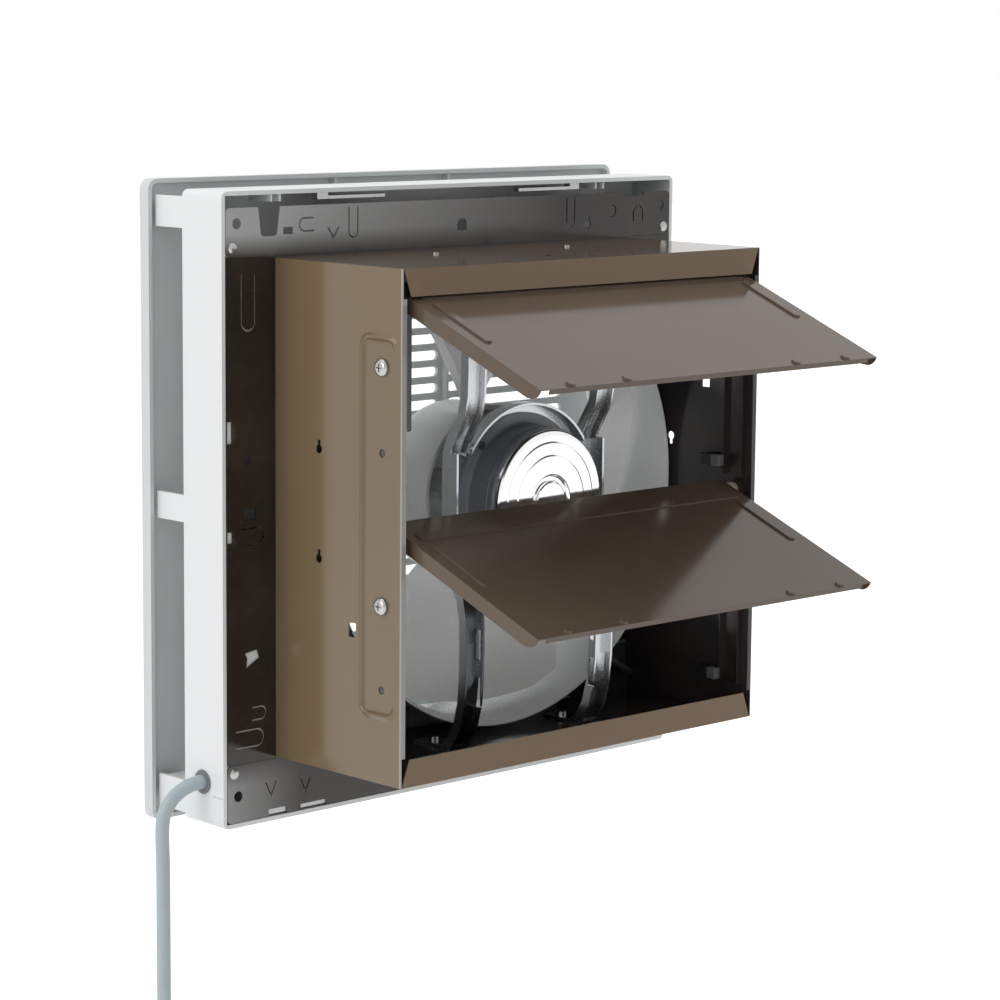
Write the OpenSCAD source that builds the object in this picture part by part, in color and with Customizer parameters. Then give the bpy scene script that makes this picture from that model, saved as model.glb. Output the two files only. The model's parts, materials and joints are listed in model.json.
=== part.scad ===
// Through-the-wall exhaust fan: white indoor frame and slotted panel, brown steel box,
// two coupled rain shutters, a motor on a pressed stay and a four-blade plastic impeller.
// X runs across the wall, Y points outdoors, Z is up. The origin is on the fan's axis,
// in the plane where the steel flange meets the wall.

/* [Frame and panel] */
// Outer width and height of the square white frame
frame_w = 350; // [340:1:370]
// Depth of the frame's side wall
frame_d = 34; // [31:1:42]
// Wall thickness of the white plastic parts
frame_t = 2.4; // [2:0.1:3]
// Width of the flat rim inside the frame's front edge
rim_w = 16; // [13:0.5:20]
// Air gap between the frame and the back of the panel
intake_gap = 23.9; // [18:0.1:30]
// Outer width and height of the front panel
panel_w = 359.2; // [352:0.2:370]
// Depth of the front panel over its edge
panel_d = 7.6; // [6:0.2:10]
// Distance between slot rows in the panel
slot_pitch = 9.85; // [8:0.05:12]
// Height of one slot
slot_h = 5.8; // [4:0.1:6.5]
// Number of slot rows on each side of the middle row
slot_half_rows = 13; // [4:1:14]
// Length of the slots in the middle column
mid_slot_w = 80; // [40:1:100]
// Length of the slots in the two side columns
side_slot_w = 96; // [50:1:105]
// Width of the bars between the slot columns
slot_bar = 8; // [5:0.5:14]
// How far the panel is pulled forward to take it off
panel_pull = 12; // [8:1:14]

/* [Steel box] */
// Outer width and height of the square steel box
box_w = 277; // [272:1:280]
// Depth of the box from the wall plane to its rear edge
box_d = 104.6; // [102:0.2:120]
// Thickness of the steel sheet
sheet_t = 0.8; // [0.6:0.1:1]
// Width of the flange strip along the top
flange_top = 27.5; // [24:0.5:30]
// Width of the flange strip along the bottom
flange_bottom = 33.8; // [28:0.2:34]
// Width of the flange strips at the sides
flange_side = 33.6; // [28:0.2:34]
// Distance between the mounting holes across the wall
hole_dx = 329; // [322:1:332]
// Distance between the mounting holes up the wall
hole_dz = 315; // [305:1:318]
// Radius of the mounting holes
hole_r = 3; // [2:0.1:4]
// Height of the rear lips on the top and bottom panels
lip_h = 15; // [10:0.5:15.5]
// Width of the return at the rear edge of the side panels
hem_w = 2.4; // [2:0.1:5]

/* [Orifice] */
// Inner radius of the throat round the blades
throat_r = 129.5; // [127.5:0.1:130.5]
// Radius of the rear rim of the orifice
orifice_rim_r = 132.9; // [131:0.1:134.5]
// Distance of the orifice's rear rim from the wall plane
orifice_y = 39.9; // [34:0.1:42]
// Radius of the rounded inlet edge
mouth_r = 20; // [10:1:22]

/* [Shutters] */
// Width of one shutter
shutter_w = 262; // [256:1:263]
// Length of one shutter from its hinge edge to its free edge
shutter_len = 124.5; // [110:0.5:125]
// Distance between the two shutter hinges
shutter_pitch = 127.5; // [127:0.5:128.5]
// Thickness of the shutter sheet
shutter_t = 0.6; // [0.5:0.1:0.8]
// Depth of the turned-down ends of a shutter
shutter_flange = 7.5; // [6:0.1:8]
// Angle of an open shutter below the horizontal
open_tilt = 21.8; // [15:0.1:30]
// Radius of the shutter pivot pins
pivot_r = 2.5; // [2:0.1:3]
// Length of the shutter cranks between their holes
crank_l = 22; // [18:0.5:24]

/* [Motor and fan] */
// Radius of the motor shell
motor_r = 41.5; // [39.5:0.1:42]
// Distance of the motor's rear face from the wall plane
motor_rear_y = 75.2; // [74:0.2:80]
// Distance of the motor stay's ring plate from the wall plane
stay_y = 48; // [46:0.2:50]
// Radius of the motor shaft
shaft_r = 4; // [3:0.1:5]
// Radius of the fan over its blade tips
blade_r = 125; // [118:0.5:125.5]
// Radius of the impeller hub
hub_r = 50; // [46:0.5:54]
// Number of fan blades
blade_count = 4; // [3:1:5]
// Angle that one blade turns through along the axis
blade_twist = 62; // [45:1:66]

/* [Cord] */
// Diameter of the power cord
cord_d = 8; // [7:0.1:8.2]

/* [Hidden] */
$fn = 64;

// One overrun serves all cuts
over = 1;
// Gap between pieces of different bodies, and play of a loose fit
gap = 0.3;
// Radial clearance of a running fit
run_gap = 0.05;

// Places that follow from the frame and the box
frame_h = frame_w / 2;
box_h = box_w / 2;
box_in = box_h - sheet_t;
panel_back_y = -frame_d - intake_gap;
panel_front_y = panel_back_y - panel_d;
rim_y = -frame_d + frame_t;
frame_in = frame_h - frame_t;
flange_x = box_h + flange_side;
flange_zt = box_h + flange_top;
flange_zb = -box_h - flange_bottom;

// Frame details: corner radius, tab heights and places, posts and sockets
frame_cr = 4;
tab_top_z = 153.9;
tab_mid_h = 15;
tab_low_z = -152.7;
post_r = 5.6;
post_l = 10.5;
post_web_t = 3;
rivet_x = 167.4;
rivet_z = 144.4;
rivet_r = 1.6;
rivet_head_r = 3;
rivet_head_h = 1.2;
rivet_l = 8;
access_r = 5;
socket_w = 13;
socket_in = 19.1;
socket_x = panel_w / 2 - socket_in;
socket_z = socket_x;
peg_r = 3.5;
peg_hold = 4;
peg_l = panel_pull + peg_hold;
orifice_fit = 0.4;
frame_rib_shares = [0.78, -0.646];
frame_rib_gap = 6.2;
frame_rib_l = 20;
frame_rib_h = 4;
frame_rib_t = 1.2;

// Panel details
panel_t = 2.4;
panel_rib_h = 4.4;
panel_rib_w = 2;
panel_cr = 6;

// Catch springs behind the top wall
spring_x = 52;
spring_l = 50;
spring_w = 5;
spring_t = 2.4;
spring_y = -12;
spring_foot = 8;
spring_drop = 2;

// Orifice details
flare_l = 10;
screw_r = 1.8;
screw_head_r = 3.6;
screw_head_h = 2;
orifice_screw_in = 8.1;
orifice_screw_x = frame_in - orifice_screw_in;
orifice_screw_z = 70;
orifice_boss_r = 4;
orifice_boss_h = 5;

// Steel box details: corner tabs, shallow raised panels and cut-outs
corner_z = box_h + 1.5 * sheet_t;
joint_gap = 0.15;
tab_h = 10;
tab_y0 = 42;
tab_y1 = 62;
pad_y = 73;
pad_z = 101.5;
pad_rear_in = 5.5;
pad_depth_share = 0.5;
pad_h = pad_depth_share * sheet_t;
pad_r = 6;
lip_in = 5.5;
hem_clear = 1;
wall_hole_r = 2.3;
spare_drop = 83;
key_w = 5;
key_h = 10;
key_y = 37.4;
key_z_shares = [0.27, -0.162];
window_y = 65;
window_z = -58;
window_w = 6;
window_h = 8;
slit_t = 0.9;
side_hole_r = 2.6;
roof_hole_r = 2.4;
roof_window_w = 7;
strip_cr = 3;
notch_x = 142;
notch_w = 15.7;
notch_d = 16;
notch_low = 2.5;
notch_shares = [
    [-0.5, 0.1], [0.5, 0.1], [0.48, -0.1], [0.37, -0.9], [0.27, -1], [-0.27, -1], [-0.37, -0.9], [-0.48, -0.1]
];
// Cut-outs of the side strips: place as shares of the strip's width and of half the box,
// then width and length as shares of the strip's width, and the way a slit is turned
side_u_shares = [
    [0.54, 0.827, 0.3, 0.92, 0], [0.518, -0.096, 0.3, 0.583, -90], [0.52, -0.91, 0.31, 0.595, -90],
    [0.327, -0.812, 0.24, 0.31, -90]
];
side_rect_shares = [[0.935, 0.323, 0.1, 0.357], [0.52, -0.004, 0.27, 0.21], [0.935, -0.092, 0.1, 0.18]];
side_hole_shares = [0.58, 0.21];
arrow_shares = [[0.63, -0.563], [0.37, -0.553], [0.325, -0.587], [0.42, -0.6], [0.6, -0.624], [0.58, -0.585]];
// Cut-outs of the top strip: place as shares of half the box and of the strip's height,
// then width and length as shares of the strip's height, and the way a slit is turned
top_u_shares = [
    [0.59, 0.615, 0.27, 0.625, 0], [-0.635, 0.615, 0.27, 0.625, 0], [0.835, 0.618, 0.29, 0.39, 90],
    [-0.887, 0.615, 0.284, 0.255, -90], [-1.048, 0.535, 0.316, 0.35, 180]
];
top_rect_shares = [[0.929, 0.513, 0.255, 0.145]];
top_arch_shares = [-0.003, 0.476, 0.27, 0.25];
top_v_shares = [[0.695, 0.42, 0.33, 0.24]];
top_key_shares = [-0.739, 0.335];
// Slits and notches of the bottom strip, mirrored at both ends, in the same shares
bottom_v_shares = [[1.02, 0.55, 0.24, 0.26], [0.84, 0.6, 0.22, 0.26]];
bottom_notch_shares = [[0.986, 0.385, 0.12], [0.798, 0.56, 0.1]];
roof_hole_shares = [[0.365, 0.806], [-0.19, 0.81]];
roof_window_shares = [0.043, 0.746];

// Shutter details, in the shutter's own frame with its pivot at zero
pivot_in = 6;
pivot_drop = 3.5;
free_hem = 2.5;
hinge_hem = 5;
corner_r = 7;
step_y = 9;
step_w = 6.5;
step_h = 0.8;
bead_y = 20;
bead_l = 46;
bead_w = 5;
bead_in = 11;
bead_h = 1.1;
pip_r = 2.6;
pip_h = 1.2;
pip_in = 3.2;
pip_shares = [-0.817, -0.504, 0.504, 0.817];
pivot_y = 88.9;
pivot_z = 123.1;
pivot_zs = [pivot_z, pivot_z - shutter_pitch];
open_turn = 90 - open_tilt;
shutter_h = shutter_w / 2;

// Rails on the side walls
rail_y0 = 82.6;
rail_y1 = 97.6;
rail_t = 0.8;
rail_lip = 3;
rail_z0 = -120;
rail_z1 = 136;
rail_gap_drop = 2;
rail_gap_h = 9;
rail_screw_y = 88.6;
rail_head_r = 4.9;
rail_head_h = 2.8;
rail_screw_drop = 37.5;
bush_r = 4.5;
bush_clear = 0.6;
pivot_bush_r = 4.4;
pivot_bush_clear = 1.5;

// Cushions that the closed shutters land on
cushion_drop = 110.5;
cushion_h = 7;
cushion_in = 2.5;
cushion_l = 6.6;
holder_l = 8;

// Link bar, cranks and actuator
crank_w = 9;
crank_t = 1.2;
crank_pin_r = 1.8;
bar_w = 6;
bar_t = 1.2;
ear_y = 34;
ear_z = 38;
act_case_t = 2;
act_depth = 23;
act_y0 = 41;
act_y1 = 76;
act_z0 = 48;
act_z1 = 112;
act_cover_t = 1.8;
act_shaft_r = 3;
act_bush_l = 6;
act_leg_y0 = 43;
act_leg_y1 = 55;
act_leg_h = 7;
act_leg_in = 1.4;
act_screw_l = 5;
act_screw_r = 1.5;
act_screw_head_r = 2.6;
act_screw_head_h = 1.4;

// Motor and its stay
shell_t = 1.4;
shell_flange_r = 48;
shell_flange_t = 1.4;
cap_r = 40.4;
cap_h = 4.4;
cap_ring_r = 27.5;
cap_ring_w = 5;
cap_ring_h = 0.8;
cap_boss_r = 14.5;
cap_boss_h = 1.2;
front_r = 36.5;
front_t = 1.6;
front_l = 20;
bearing_r = 9;
bearing_l = 7;
seat_t = 1.6;
stator_l = 20;
stator_in = 24.4;
stator_y = 40;
winding_l = 4.5;
winding_r0 = 26.5;
winding_r1 = 33;
air_gap = 0.5;
motor_screw_r = 44.8;
motor_screw_l = 6;
stay_t = 1.6;
stay_r = 54;
stay_hole_r = 37.2;
stay_lip = 8;
wing_z = 30;
wing_lip = 12;
leg_w = 14;
leg_x = 51;
leg_out = 15;
wing_x = leg_x + leg_w / 2;
leg_lip = 6;
foot_l = 22;
foot_hole_in = 8;
leg_window_w = 8;
leg_window_h = 17;
leg_window_shares = [0.566, 0.762];
leg_shares = [
    [0, 0], [0.12, 0.06], [0.45, 0.14], [0.82, 0.22], [0.97, 0.32], [1, 0.45],
    [0.98, 0.62], [0.9, 0.76], [0.68, 0.88], [0.35, 0.96], [0, 1]
];

// Impeller, shaft and knob
hub_t = 2.2;
hub_y0 = -22;
hub_y1 = 26;
hub_round = 14;
hub_boss_r = 9;
hub_boss_l = 26;
blade_t = 5;
blade_y0 = -18;
blade_y1 = 30;
blade_a0 = 63;
blade_slices = 12;
blade_segments = 12;
blade_outline_shares = [
    [0, 0.16], [0.45, 0.02], [0.8, 0], [0.95, 0.08], [1, 0.24], [1, 0.86],
    [0.95, 0.96], [0.75, 1], [0, 0.88]
];
shaft_y0 = -38;
pin_r = 1.4;
pin_l = 15;
knob_r = 17;
knob_l = 17;
knob_nose_r = 13.6;
knob_step_l = 4.25;
knob_ribs = 12;
knob_rib_r = 2;

// Terminal box and inner leads
term_x0 = -123;
term_x1 = -94;
term_h = 33;
term_y0 = -10;
term_y1 = 17;
term_t = 1.6;
term_screw_l = 6;
lead_d = 4.4;
thin_lead_d = 3.2;
lead_sides = 8;
cord_sides = 10;

// Grommet, coil, tie and plug
grommet_y = -18;
grommet_z = -150.5;
grommet_r = 6;
grommet_flange_r = 6.8;
grommet_flange_l = 0.8;
seam_z = -157.5;
seam_w = 0.6;
seam_d = 0.5;
seam_l = 9;
coil_r = 42;
coil_turns = 3;
coil_pitch = 8.6;
coil_steps = 24;
coil_sides = 6;
tail_l = 64;
tail_steps = 4;
tie_t = 1.2;
tie_h = 6;
tie_gap = 0.3;
plug_w = 24;
plug_d = 15;
plug_l = 26;
plug_cr = 3.75;
plug_boot_l = 14;
plug_boot_r = 5.4;
blade_pin_w = 6.3;
blade_pin_t = 1.5;
blade_pin_l = 17;
blade_pin_pitch = 12.7;

// Route of the free cord, from the grommet down past the bottom of the frame
cord_route = [
    [175.8, -18, -150.5], [179, -18, -150.5], [184, -18.6, -151.5], [189, -19.6, -153.6],
    [193.5, -20.6, -157], [197, -21.5, -161.6], [199.3, -22.2, -167.2], [200, -22.5, -174],
    [200, -22.5, -183], [200, -22, -198], [200, -22, -218], [200, -22, -238],
    [200, -22, -258], [200, -22, -278], [200, -22, -298], [200, -22, -318], [200, -22, -338],
    [200, -22, -358]
];
// Route of the cord inside the frame, from the grommet to the terminal box
inner_route = [
    [170, -18, -150.5], [160, -18, -150.5], [150, -18, -150.8], [130, -18, -152], [90, -18, -153],
    [50, -18, -153], [10, -18, -153], [-30, -18, -153], [-60, -18, -153], [-82, -18, -152],
    [-96, -19, -148], [-104, -20, -142], [-107, -20.5, -134], [-108, -20.5, -128],
    [-108, -18.5, -123], [-108, -14, -120], [-108, -10, -120]
];
// Route of the motor's lead, from the front cap to the terminal box
lead_route = [
    [-32, 45, -20], [-36, 43, -28], [-42, 42.5, -38], [-50, 42.5, -55], [-60, 42.5, -75],
    [-70, 43, -92], [-82, 43, -105], [-95, 42, -113], [-104, 38, -117], [-108, 32, -118],
    [-108, 25, -118], [-108, 19, -118], [-108, 17, -118]
];
// Route of the actuator's lead, down the left wall and along the bottom inside the frame
actuator_route = [
    [120, 50, 48], [120, 50, 42], [123, 49, 34], [129, 47, 24], [134, 45, 8], [135, 44, -15],
    [135, 44, -45], [135, 44, -75], [134, 44, -95], [131, 42, -108], [127, 35, -118],
    [124, 25, -123], [122, 12, -127], [121, 2, -131], [118, -6, -136], [112, -10, -140],
    [100, -11, -143], [70, -11, -144], [30, -11, -144], [-10, -11, -144], [-50, -11, -144],
    [-80, -12, -143], [-94, -14, -139], [-99, -16, -132], [-100, -16, -126], [-100, -14, -123],
    [-100, -12, -122], [-100, -10, -122]
];

// Placing helpers

module block(x0, x1, y0, y1, z0, z1) {
    translate([x0, y0, z0]) cube([x1 - x0, y1 - y0, z1 - z0]);
}

module rod_x(r, x0, x1) {
    translate([x0, 0, 0]) rotate([0, 90, 0]) cylinder(r = r, h = x1 - x0);
}

module rod_y(r, y0, y1) {
    translate([0, y1, 0]) rotate([90, 0, 0]) cylinder(r = r, h = y1 - y0);
}

module rod_z(r, z0, z1) {
    translate([0, 0, z0]) cylinder(r = r, h = z1 - z0);
}

// Extrudes an outline drawn in X and Z from y0 to y1
module plate_y(y0, y1) {
    translate([0, y1, 0]) rotate([90, 0, 0]) linear_extrude(y1 - y0) children();
}

// Extrudes an outline drawn in Y and Z from x0 to x1
module plate_x(x0, x1) {
    translate([x0, 0, 0]) rotate([90, 0, 90]) linear_extrude(x1 - x0) children();
}

// Turns an outline drawn in radius and Y round the fan's axis
module turned_y() {
    rotate([-90, 0, 0]) rotate_extrude() children();
}

module round_rect(w, h, r) {
    square([w - 2 * r, h], center = true);
    square([w, h - 2 * r], center = true);
    for (sx = [-1, 1], sz = [-1, 1]) translate([sx * (w / 2 - r), sz * (h / 2 - r)]) circle(r);
}

module stadium(w, h) {
    square([w - h, h], center = true);
    for (s = [-1, 1]) translate([s * (w - h) / 2, 0]) circle(h / 2);
}

// A rectangle given as its middle and its size
module rect_at(r) {
    translate([r[0], r[1]]) square([r[2], r[3]], center = true);
}

// A thin U-shaped slit with a round end, given as its middle, width and length
module u_form(w, l) {
    translate([0, (w - l) / 2]) circle(w / 2);
    translate([-w / 2, (w - l) / 2]) square([w, l - w / 2]);
}

module u_slit(w, l) {
    difference() {
        u_form(w, l);
        translate([0, slit_t]) u_form(w - 2 * slit_t, l);
    }
}

module v_slit(w, h) {
    difference() {
        polygon([[-w / 2, h / 2], [w / 2, h / 2], [0, -h / 2]]);
        translate([0, 2 * slit_t]) polygon([[-w / 2, h / 2], [w / 2, h / 2], [0, -h / 2]]);
    }
}

// A hole with a narrow top and a wide bottom
module keyhole() {
    circle(key_w / 2);
    translate([-key_w / 4, 0]) square([key_w / 2, key_h / 2]);
}

// A hole with a round top
module arch(w, h) {
    translate([-w / 2, -h / 2]) square([w, h - w / 2]);
    translate([0, (h - w) / 2]) circle(w / 2);
}

module corners(x, z) {
    for (sx = [-1, 1], sz = [-1, 1]) translate([sx * x, 0, sz * z]) children();
}

// Sweep of a round section along a list of points

function unit(v) = v / norm(v);
function tangent(p, i) = unit(p[min(i + 1, len(p) - 1)] - p[max(i - 1, 0)]);
function end_tangent(p, i) =
    i == 0 ? unit(p[1] - p[0]) : i == len(p) - 1 ? unit(p[i] - p[i - 1]) : tangent(p, i);
function turned(n, t) = unit(n - (n * t) * t);
function normals(p, n, i = 0) =
    i == len(p) ? [] :
    let (m = turned(n, end_tangent(p, i))) concat([m], normals(p, m, i + 1));
function ring(c, t, n, r, k) =
    [for (j = [0:k - 1]) c + r * (cos(360 * j / k) * n + sin(360 * j / k) * cross(t, n))];

module tube(p, d, k, first_normal) {
    ns = normals(p, first_normal);
    pts = [for (i = [0:len(p) - 1]) each ring(p[i], end_tangent(p, i), ns[i], d / 2, k)];
    last = (len(p) - 1) * k;
    sides = [for (i = [0:len(p) - 2], j = [0:k - 1])
        let (a = i * k + j, b = i * k + (j + 1) % k) each [[a, b, b + k], [a, b + k, a + k]]];
    start = [for (j = [1:k - 2]) [0, j + 1, j]];
    finish = [for (j = [1:k - 2]) [last, last + j, last + j + 1]];
    polyhedron(concat(pts), [for (f = concat(sides, start, finish)) [f[2], f[1], f[0]]]);
}

// Outline of a strip of constant thickness along a path in a plane

function side_of(p, i) = let (t = end_tangent(p, i)) [-t[1], t[0]];
function strip(p, t) = concat(
    p, [for (i = [len(p) - 1:-1:0]) p[i] + t * side_of(p, i)]);

// Front frame and panel

module frame_tab(z0, z1) {
    for (s = [-1, 1]) block(
        s > 0 ? frame_in : -frame_h, s > 0 ? frame_h : -frame_in,
        panel_back_y + gap, -frame_d + over, z0, z1);
}

module front_frame() {
    color("white") difference() {
        union() {
            plate_y(-frame_d, 0) difference() {
                round_rect(frame_w, frame_w, frame_cr);
                square([2 * frame_in, 2 * frame_in], center = true);
            }
            plate_y(-frame_d, rim_y) difference() {
                round_rect(frame_w, frame_w, frame_cr);
                square([2 * (frame_in - rim_w), 2 * (frame_in - rim_w)], center = true);
            }
            frame_tab(tab_top_z, frame_h - frame_cr);
            frame_tab(-tab_mid_h / 2, tab_mid_h / 2);
            frame_tab(-frame_h + frame_cr, tab_low_z);
            for (sx = [-1, 1], sz = [-1, 1]) scale([sx, 1, sz]) {
                block(socket_x - socket_w / 2, frame_in + over, panel_back_y + gap, -frame_d + over,
                    socket_z - socket_w / 2, socket_z + socket_w / 2);
                block(rivet_x, frame_in + over, -sheet_t - post_l, -sheet_t,
                    rivet_z - post_web_t / 2, rivet_z + post_web_t / 2);
            }
            corners(rivet_x, rivet_z) rod_y(post_r, -sheet_t - post_l, -sheet_t);
            corners(orifice_screw_x, orifice_screw_z)
                rod_y(orifice_boss_r, -frame_d - orifice_boss_h, -frame_d + over);
            for (x = frame_rib_shares, k = [-1, 1])
                translate([frame_h * x + k * frame_rib_gap / 2, 0, 0])
                block(-frame_rib_t / 2, frame_rib_t / 2, -frame_rib_l, -sheet_t - gap,
                    frame_in - frame_rib_h, frame_in + over);
        }
        corners(socket_x, socket_z)
            rod_y(peg_r + run_gap, panel_back_y - over, panel_back_y + peg_l + over);
        corners(rivet_x, rivet_z) rod_y(rivet_r, -rivet_l - over, over);
        corners(hole_dx / 2, hole_dz / 2) rod_y(access_r, -frame_d - over, rim_y + over);
        corners(orifice_screw_x, orifice_screw_z)
            rod_y(screw_r, -frame_d - orifice_boss_h - over, rim_y + over);
        translate([0, grommet_y, grommet_z]) rod_x(grommet_r, frame_in - over, frame_h + over);
        for (y = [[-frame_d - over, -frame_d + seam_l], [-seam_l, over]])
            block(frame_h - seam_d, frame_h + over, y[0], y[1], seam_z - seam_w / 2, seam_z + seam_w / 2);
    }
}

module slot_row(z) {
    side_x = mid_slot_w / 2 + slot_bar + side_slot_w / 2;
    translate([0, z]) stadium(mid_slot_w, slot_h);
    for (s = [-1, 1]) translate([s * side_x, z]) stadium(side_slot_w, slot_h);
}

module front_panel() {
    rib_x = mid_slot_w / 2 + slot_bar / 2;
    color("white") {
        plate_y(panel_front_y, panel_front_y + panel_t) difference() {
            round_rect(panel_w, panel_w, panel_cr);
            for (k = [-slot_half_rows:slot_half_rows]) slot_row(k * slot_pitch);
        }
        plate_y(panel_front_y, panel_back_y) difference() {
            round_rect(panel_w, panel_w, panel_cr);
            round_rect(panel_w - 2 * frame_t, panel_w - 2 * frame_t, panel_cr - frame_t);
        }
        for (s = [-1, 1]) block(
            s * rib_x - panel_rib_w / 2, s * rib_x + panel_rib_w / 2,
            panel_front_y + panel_t, panel_front_y + panel_t + panel_rib_h,
            -panel_w / 2 + frame_t, panel_w / 2 - frame_t);
        corners(socket_x, socket_z)
            rod_y(peg_r, panel_front_y + panel_t, panel_back_y + peg_l);
    }
}

module catch_springs() {
    color("silver") for (s = [-1, 1]) scale([s, 1, 1]) {
        block(spring_x, spring_x + spring_l, spring_y, spring_y + spring_w,
            frame_in - spring_drop - spring_t, frame_in - spring_drop);
        block(spring_x + spring_l - spring_foot, spring_x + spring_l, spring_y,
            spring_y + spring_w, frame_in - spring_drop, frame_in);
    }
}

// Orifice

module orifice_sheet() {
    y0 = rim_y;
    centre_r = throat_r + mouth_r;
    intersection() {
        translate([centre_r, y0 + mouth_r]) difference() {
            circle(mouth_r);
            circle(mouth_r - sheet_t);
        }
        translate([centre_r - mouth_r - over, y0 - over]) square([mouth_r + over, mouth_r + over]);
    }
    translate([throat_r, y0 + mouth_r]) square([sheet_t, orifice_y - flare_l - y0 - mouth_r]);
    polygon([
        [throat_r, orifice_y - flare_l], [throat_r + sheet_t, orifice_y - flare_l],
        [orifice_rim_r + sheet_t, orifice_y], [orifice_rim_r, orifice_y]
    ]);
}

module orifice() {
    w = 2 * (frame_in - orifice_fit);
    color("gainsboro") {
        turned_y() orifice_sheet();
        difference() {
            plate_y(rim_y, rim_y + sheet_t) difference() {
                square([w, w], center = true);
                circle(throat_r + mouth_r);
            }
            corners(hole_dx / 2, hole_dz / 2) rod_y(access_r, rim_y - over, rim_y + sheet_t + over);
            corners(orifice_screw_x, orifice_screw_z)
                rod_y(screw_r, rim_y - over, rim_y + sheet_t + over);
        }
    }
}

module orifice_screws() {
    color("silver") corners(orifice_screw_x, orifice_screw_z) {
        rod_y(screw_r, -frame_d - orifice_boss_h, rim_y + sheet_t);
        rod_y(screw_head_r, rim_y + sheet_t, rim_y + sheet_t + screw_head_h);
    }
}

// Steel box

module wall_holes() {
    for (z = pivot_zs, d = [rail_screw_drop, spare_drop])
        translate([rail_screw_y, z - d]) circle(wall_hole_r);
}

// The keyholes and the window lie at other heights on the other wall, where s is -1
module side_wall_outline(s) {
    difference() {
        translate([-sheet_t, -box_h]) square([box_d + sheet_t, box_w]);
        wall_holes();
        scale([1, s]) {
            for (z = key_z_shares) translate([key_y, box_h * z]) keyhole();
            rect_at([window_y, window_z, window_w, window_h]);
        }
    }
}

module side_flange_outline() {
    w = flange_side;
    difference() {
        translate([box_h - sheet_t, -corner_z + joint_gap])
            square([flange_side + sheet_t, 2 * (corner_z - joint_gap)]);
        for (c = side_u_shares) translate([box_h + w * c[0], box_h * c[1]]) rotate(c[4])
            u_slit(w * c[2], w * c[3]);
        for (c = side_rect_shares) rect_at([box_h + w * c[0], box_h * c[1], w * c[2], w * c[3]]);
        translate([box_h + w * side_hole_shares[0], box_h * side_hole_shares[1]]) circle(side_hole_r);
        polygon([for (c = arrow_shares) [box_h + w * c[0], box_h * c[1]]]);
    }
}

module side_panel(s) {
    color("saddlebrown") {
        difference() {
            plate_x(box_in, box_h) side_wall_outline(s);
            plate_x(box_h - pad_h, box_h + over) translate([(pad_y + box_d - pad_rear_in) / 2, 0])
                round_rect(box_d - pad_rear_in - pad_y, 2 * pad_z, pad_r);
        }
        block(box_in - hem_w, box_in, box_d - sheet_t, box_d,
            -box_h + lip_h + hem_clear, box_h - lip_h - hem_clear);
        plate_y(-sheet_t, 0) side_flange_outline();
    }
}

module side_panel_left() {
    side_panel(1);
}

module side_panel_right() {
    scale([-1, 1, 1]) side_panel(-1);
}

module lip_outline(z_fold, z_edge) {
    polygon([
        [-box_in + joint_gap, z_fold], [box_in - joint_gap, z_fold],
        [box_in - lip_in, z_edge], [-box_in + lip_in, z_edge]
    ]);
}

module panel_side_tabs(z0, z1) {
    for (s = [-1, 1]) scale([s, 1, 1])
        block(box_in - joint_gap - sheet_t, box_in - joint_gap, tab_y0, tab_y1, z0, z1);
}

// The flange's top strip with its rounded corners and cut-outs
module top_strip_outline() {
    h = flange_top;
    difference() {
        union() {
            translate([-box_in + joint_gap, box_in]) square([2 * (box_in - joint_gap), flange_zt - box_in]);
            translate([0, (flange_zt + corner_z) / 2])
                round_rect(2 * flange_x, flange_zt - corner_z, strip_cr);
        }
        translate([notch_x, flange_zt])
            polygon([for (c = notch_shares) [notch_w * c[0], notch_d * c[1]]]);
        translate([-notch_x, flange_zt]) square([notch_w, 2 * notch_low], center = true);
        for (c = top_u_shares) translate([box_h * c[0], box_h + h * c[1]]) rotate(c[4])
            u_slit(h * c[2], h * c[3]);
        for (c = top_rect_shares) rect_at([box_h * c[0], box_h + h * c[1], h * c[2], h * c[3]]);
        for (c = top_v_shares) translate([box_h * c[0], box_h + h * c[1]]) v_slit(h * c[2], h * c[3]);
        translate([box_h * top_arch_shares[0], box_h + h * top_arch_shares[1]])
            arch(h * top_arch_shares[2], h * top_arch_shares[3]);
        translate([box_h * top_key_shares[0], box_h + h * top_key_shares[1]]) keyhole();
    }
}

module bottom_strip_outline() {
    h = flange_bottom;
    difference() {
        union() {
            translate([-box_in + joint_gap, flange_zb]) square([2 * (box_in - joint_gap), -box_in - flange_zb]);
            translate([0, (flange_zb - corner_z) / 2])
                round_rect(2 * flange_x, -corner_z - flange_zb, strip_cr);
        }
        for (s = [-1, 1]) {
            for (c = bottom_v_shares) translate([s * box_h * c[0], -box_h - h * c[1]])
                v_slit(h * c[2], h * c[3]);
            for (c = bottom_notch_shares) translate([s * box_h * c[0], flange_zb])
                square([h * c[1], 2 * h * c[2]], center = true);
        }
    }
}

module top_panel() {
    color("saddlebrown") {
        difference() {
            block(-box_in + joint_gap, box_in - joint_gap, -sheet_t, box_d, box_in, box_h);
            for (h = roof_hole_shares) translate([box_h * h[0], box_d * h[1], 0])
                rod_z(roof_hole_r, box_in - over, box_h + over);
            translate([box_h * roof_window_shares[0], box_d * roof_window_shares[1], box_in - over])
                linear_extrude(sheet_t + 2 * over) square(roof_window_w, center = true);
            foot_holes(1);
        }
        plate_y(box_d - sheet_t, box_d) lip_outline(box_h, box_h - lip_h);
        panel_side_tabs(box_in - tab_h, box_in);
        difference() {
            plate_y(-sheet_t, 0) top_strip_outline();
            corners(hole_dx / 2, hole_dz / 2) rod_y(hole_r, -sheet_t - over, over);
            corners(rivet_x, rivet_z) rod_y(rivet_r, -sheet_t - over, over);
        }
    }
}

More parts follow.
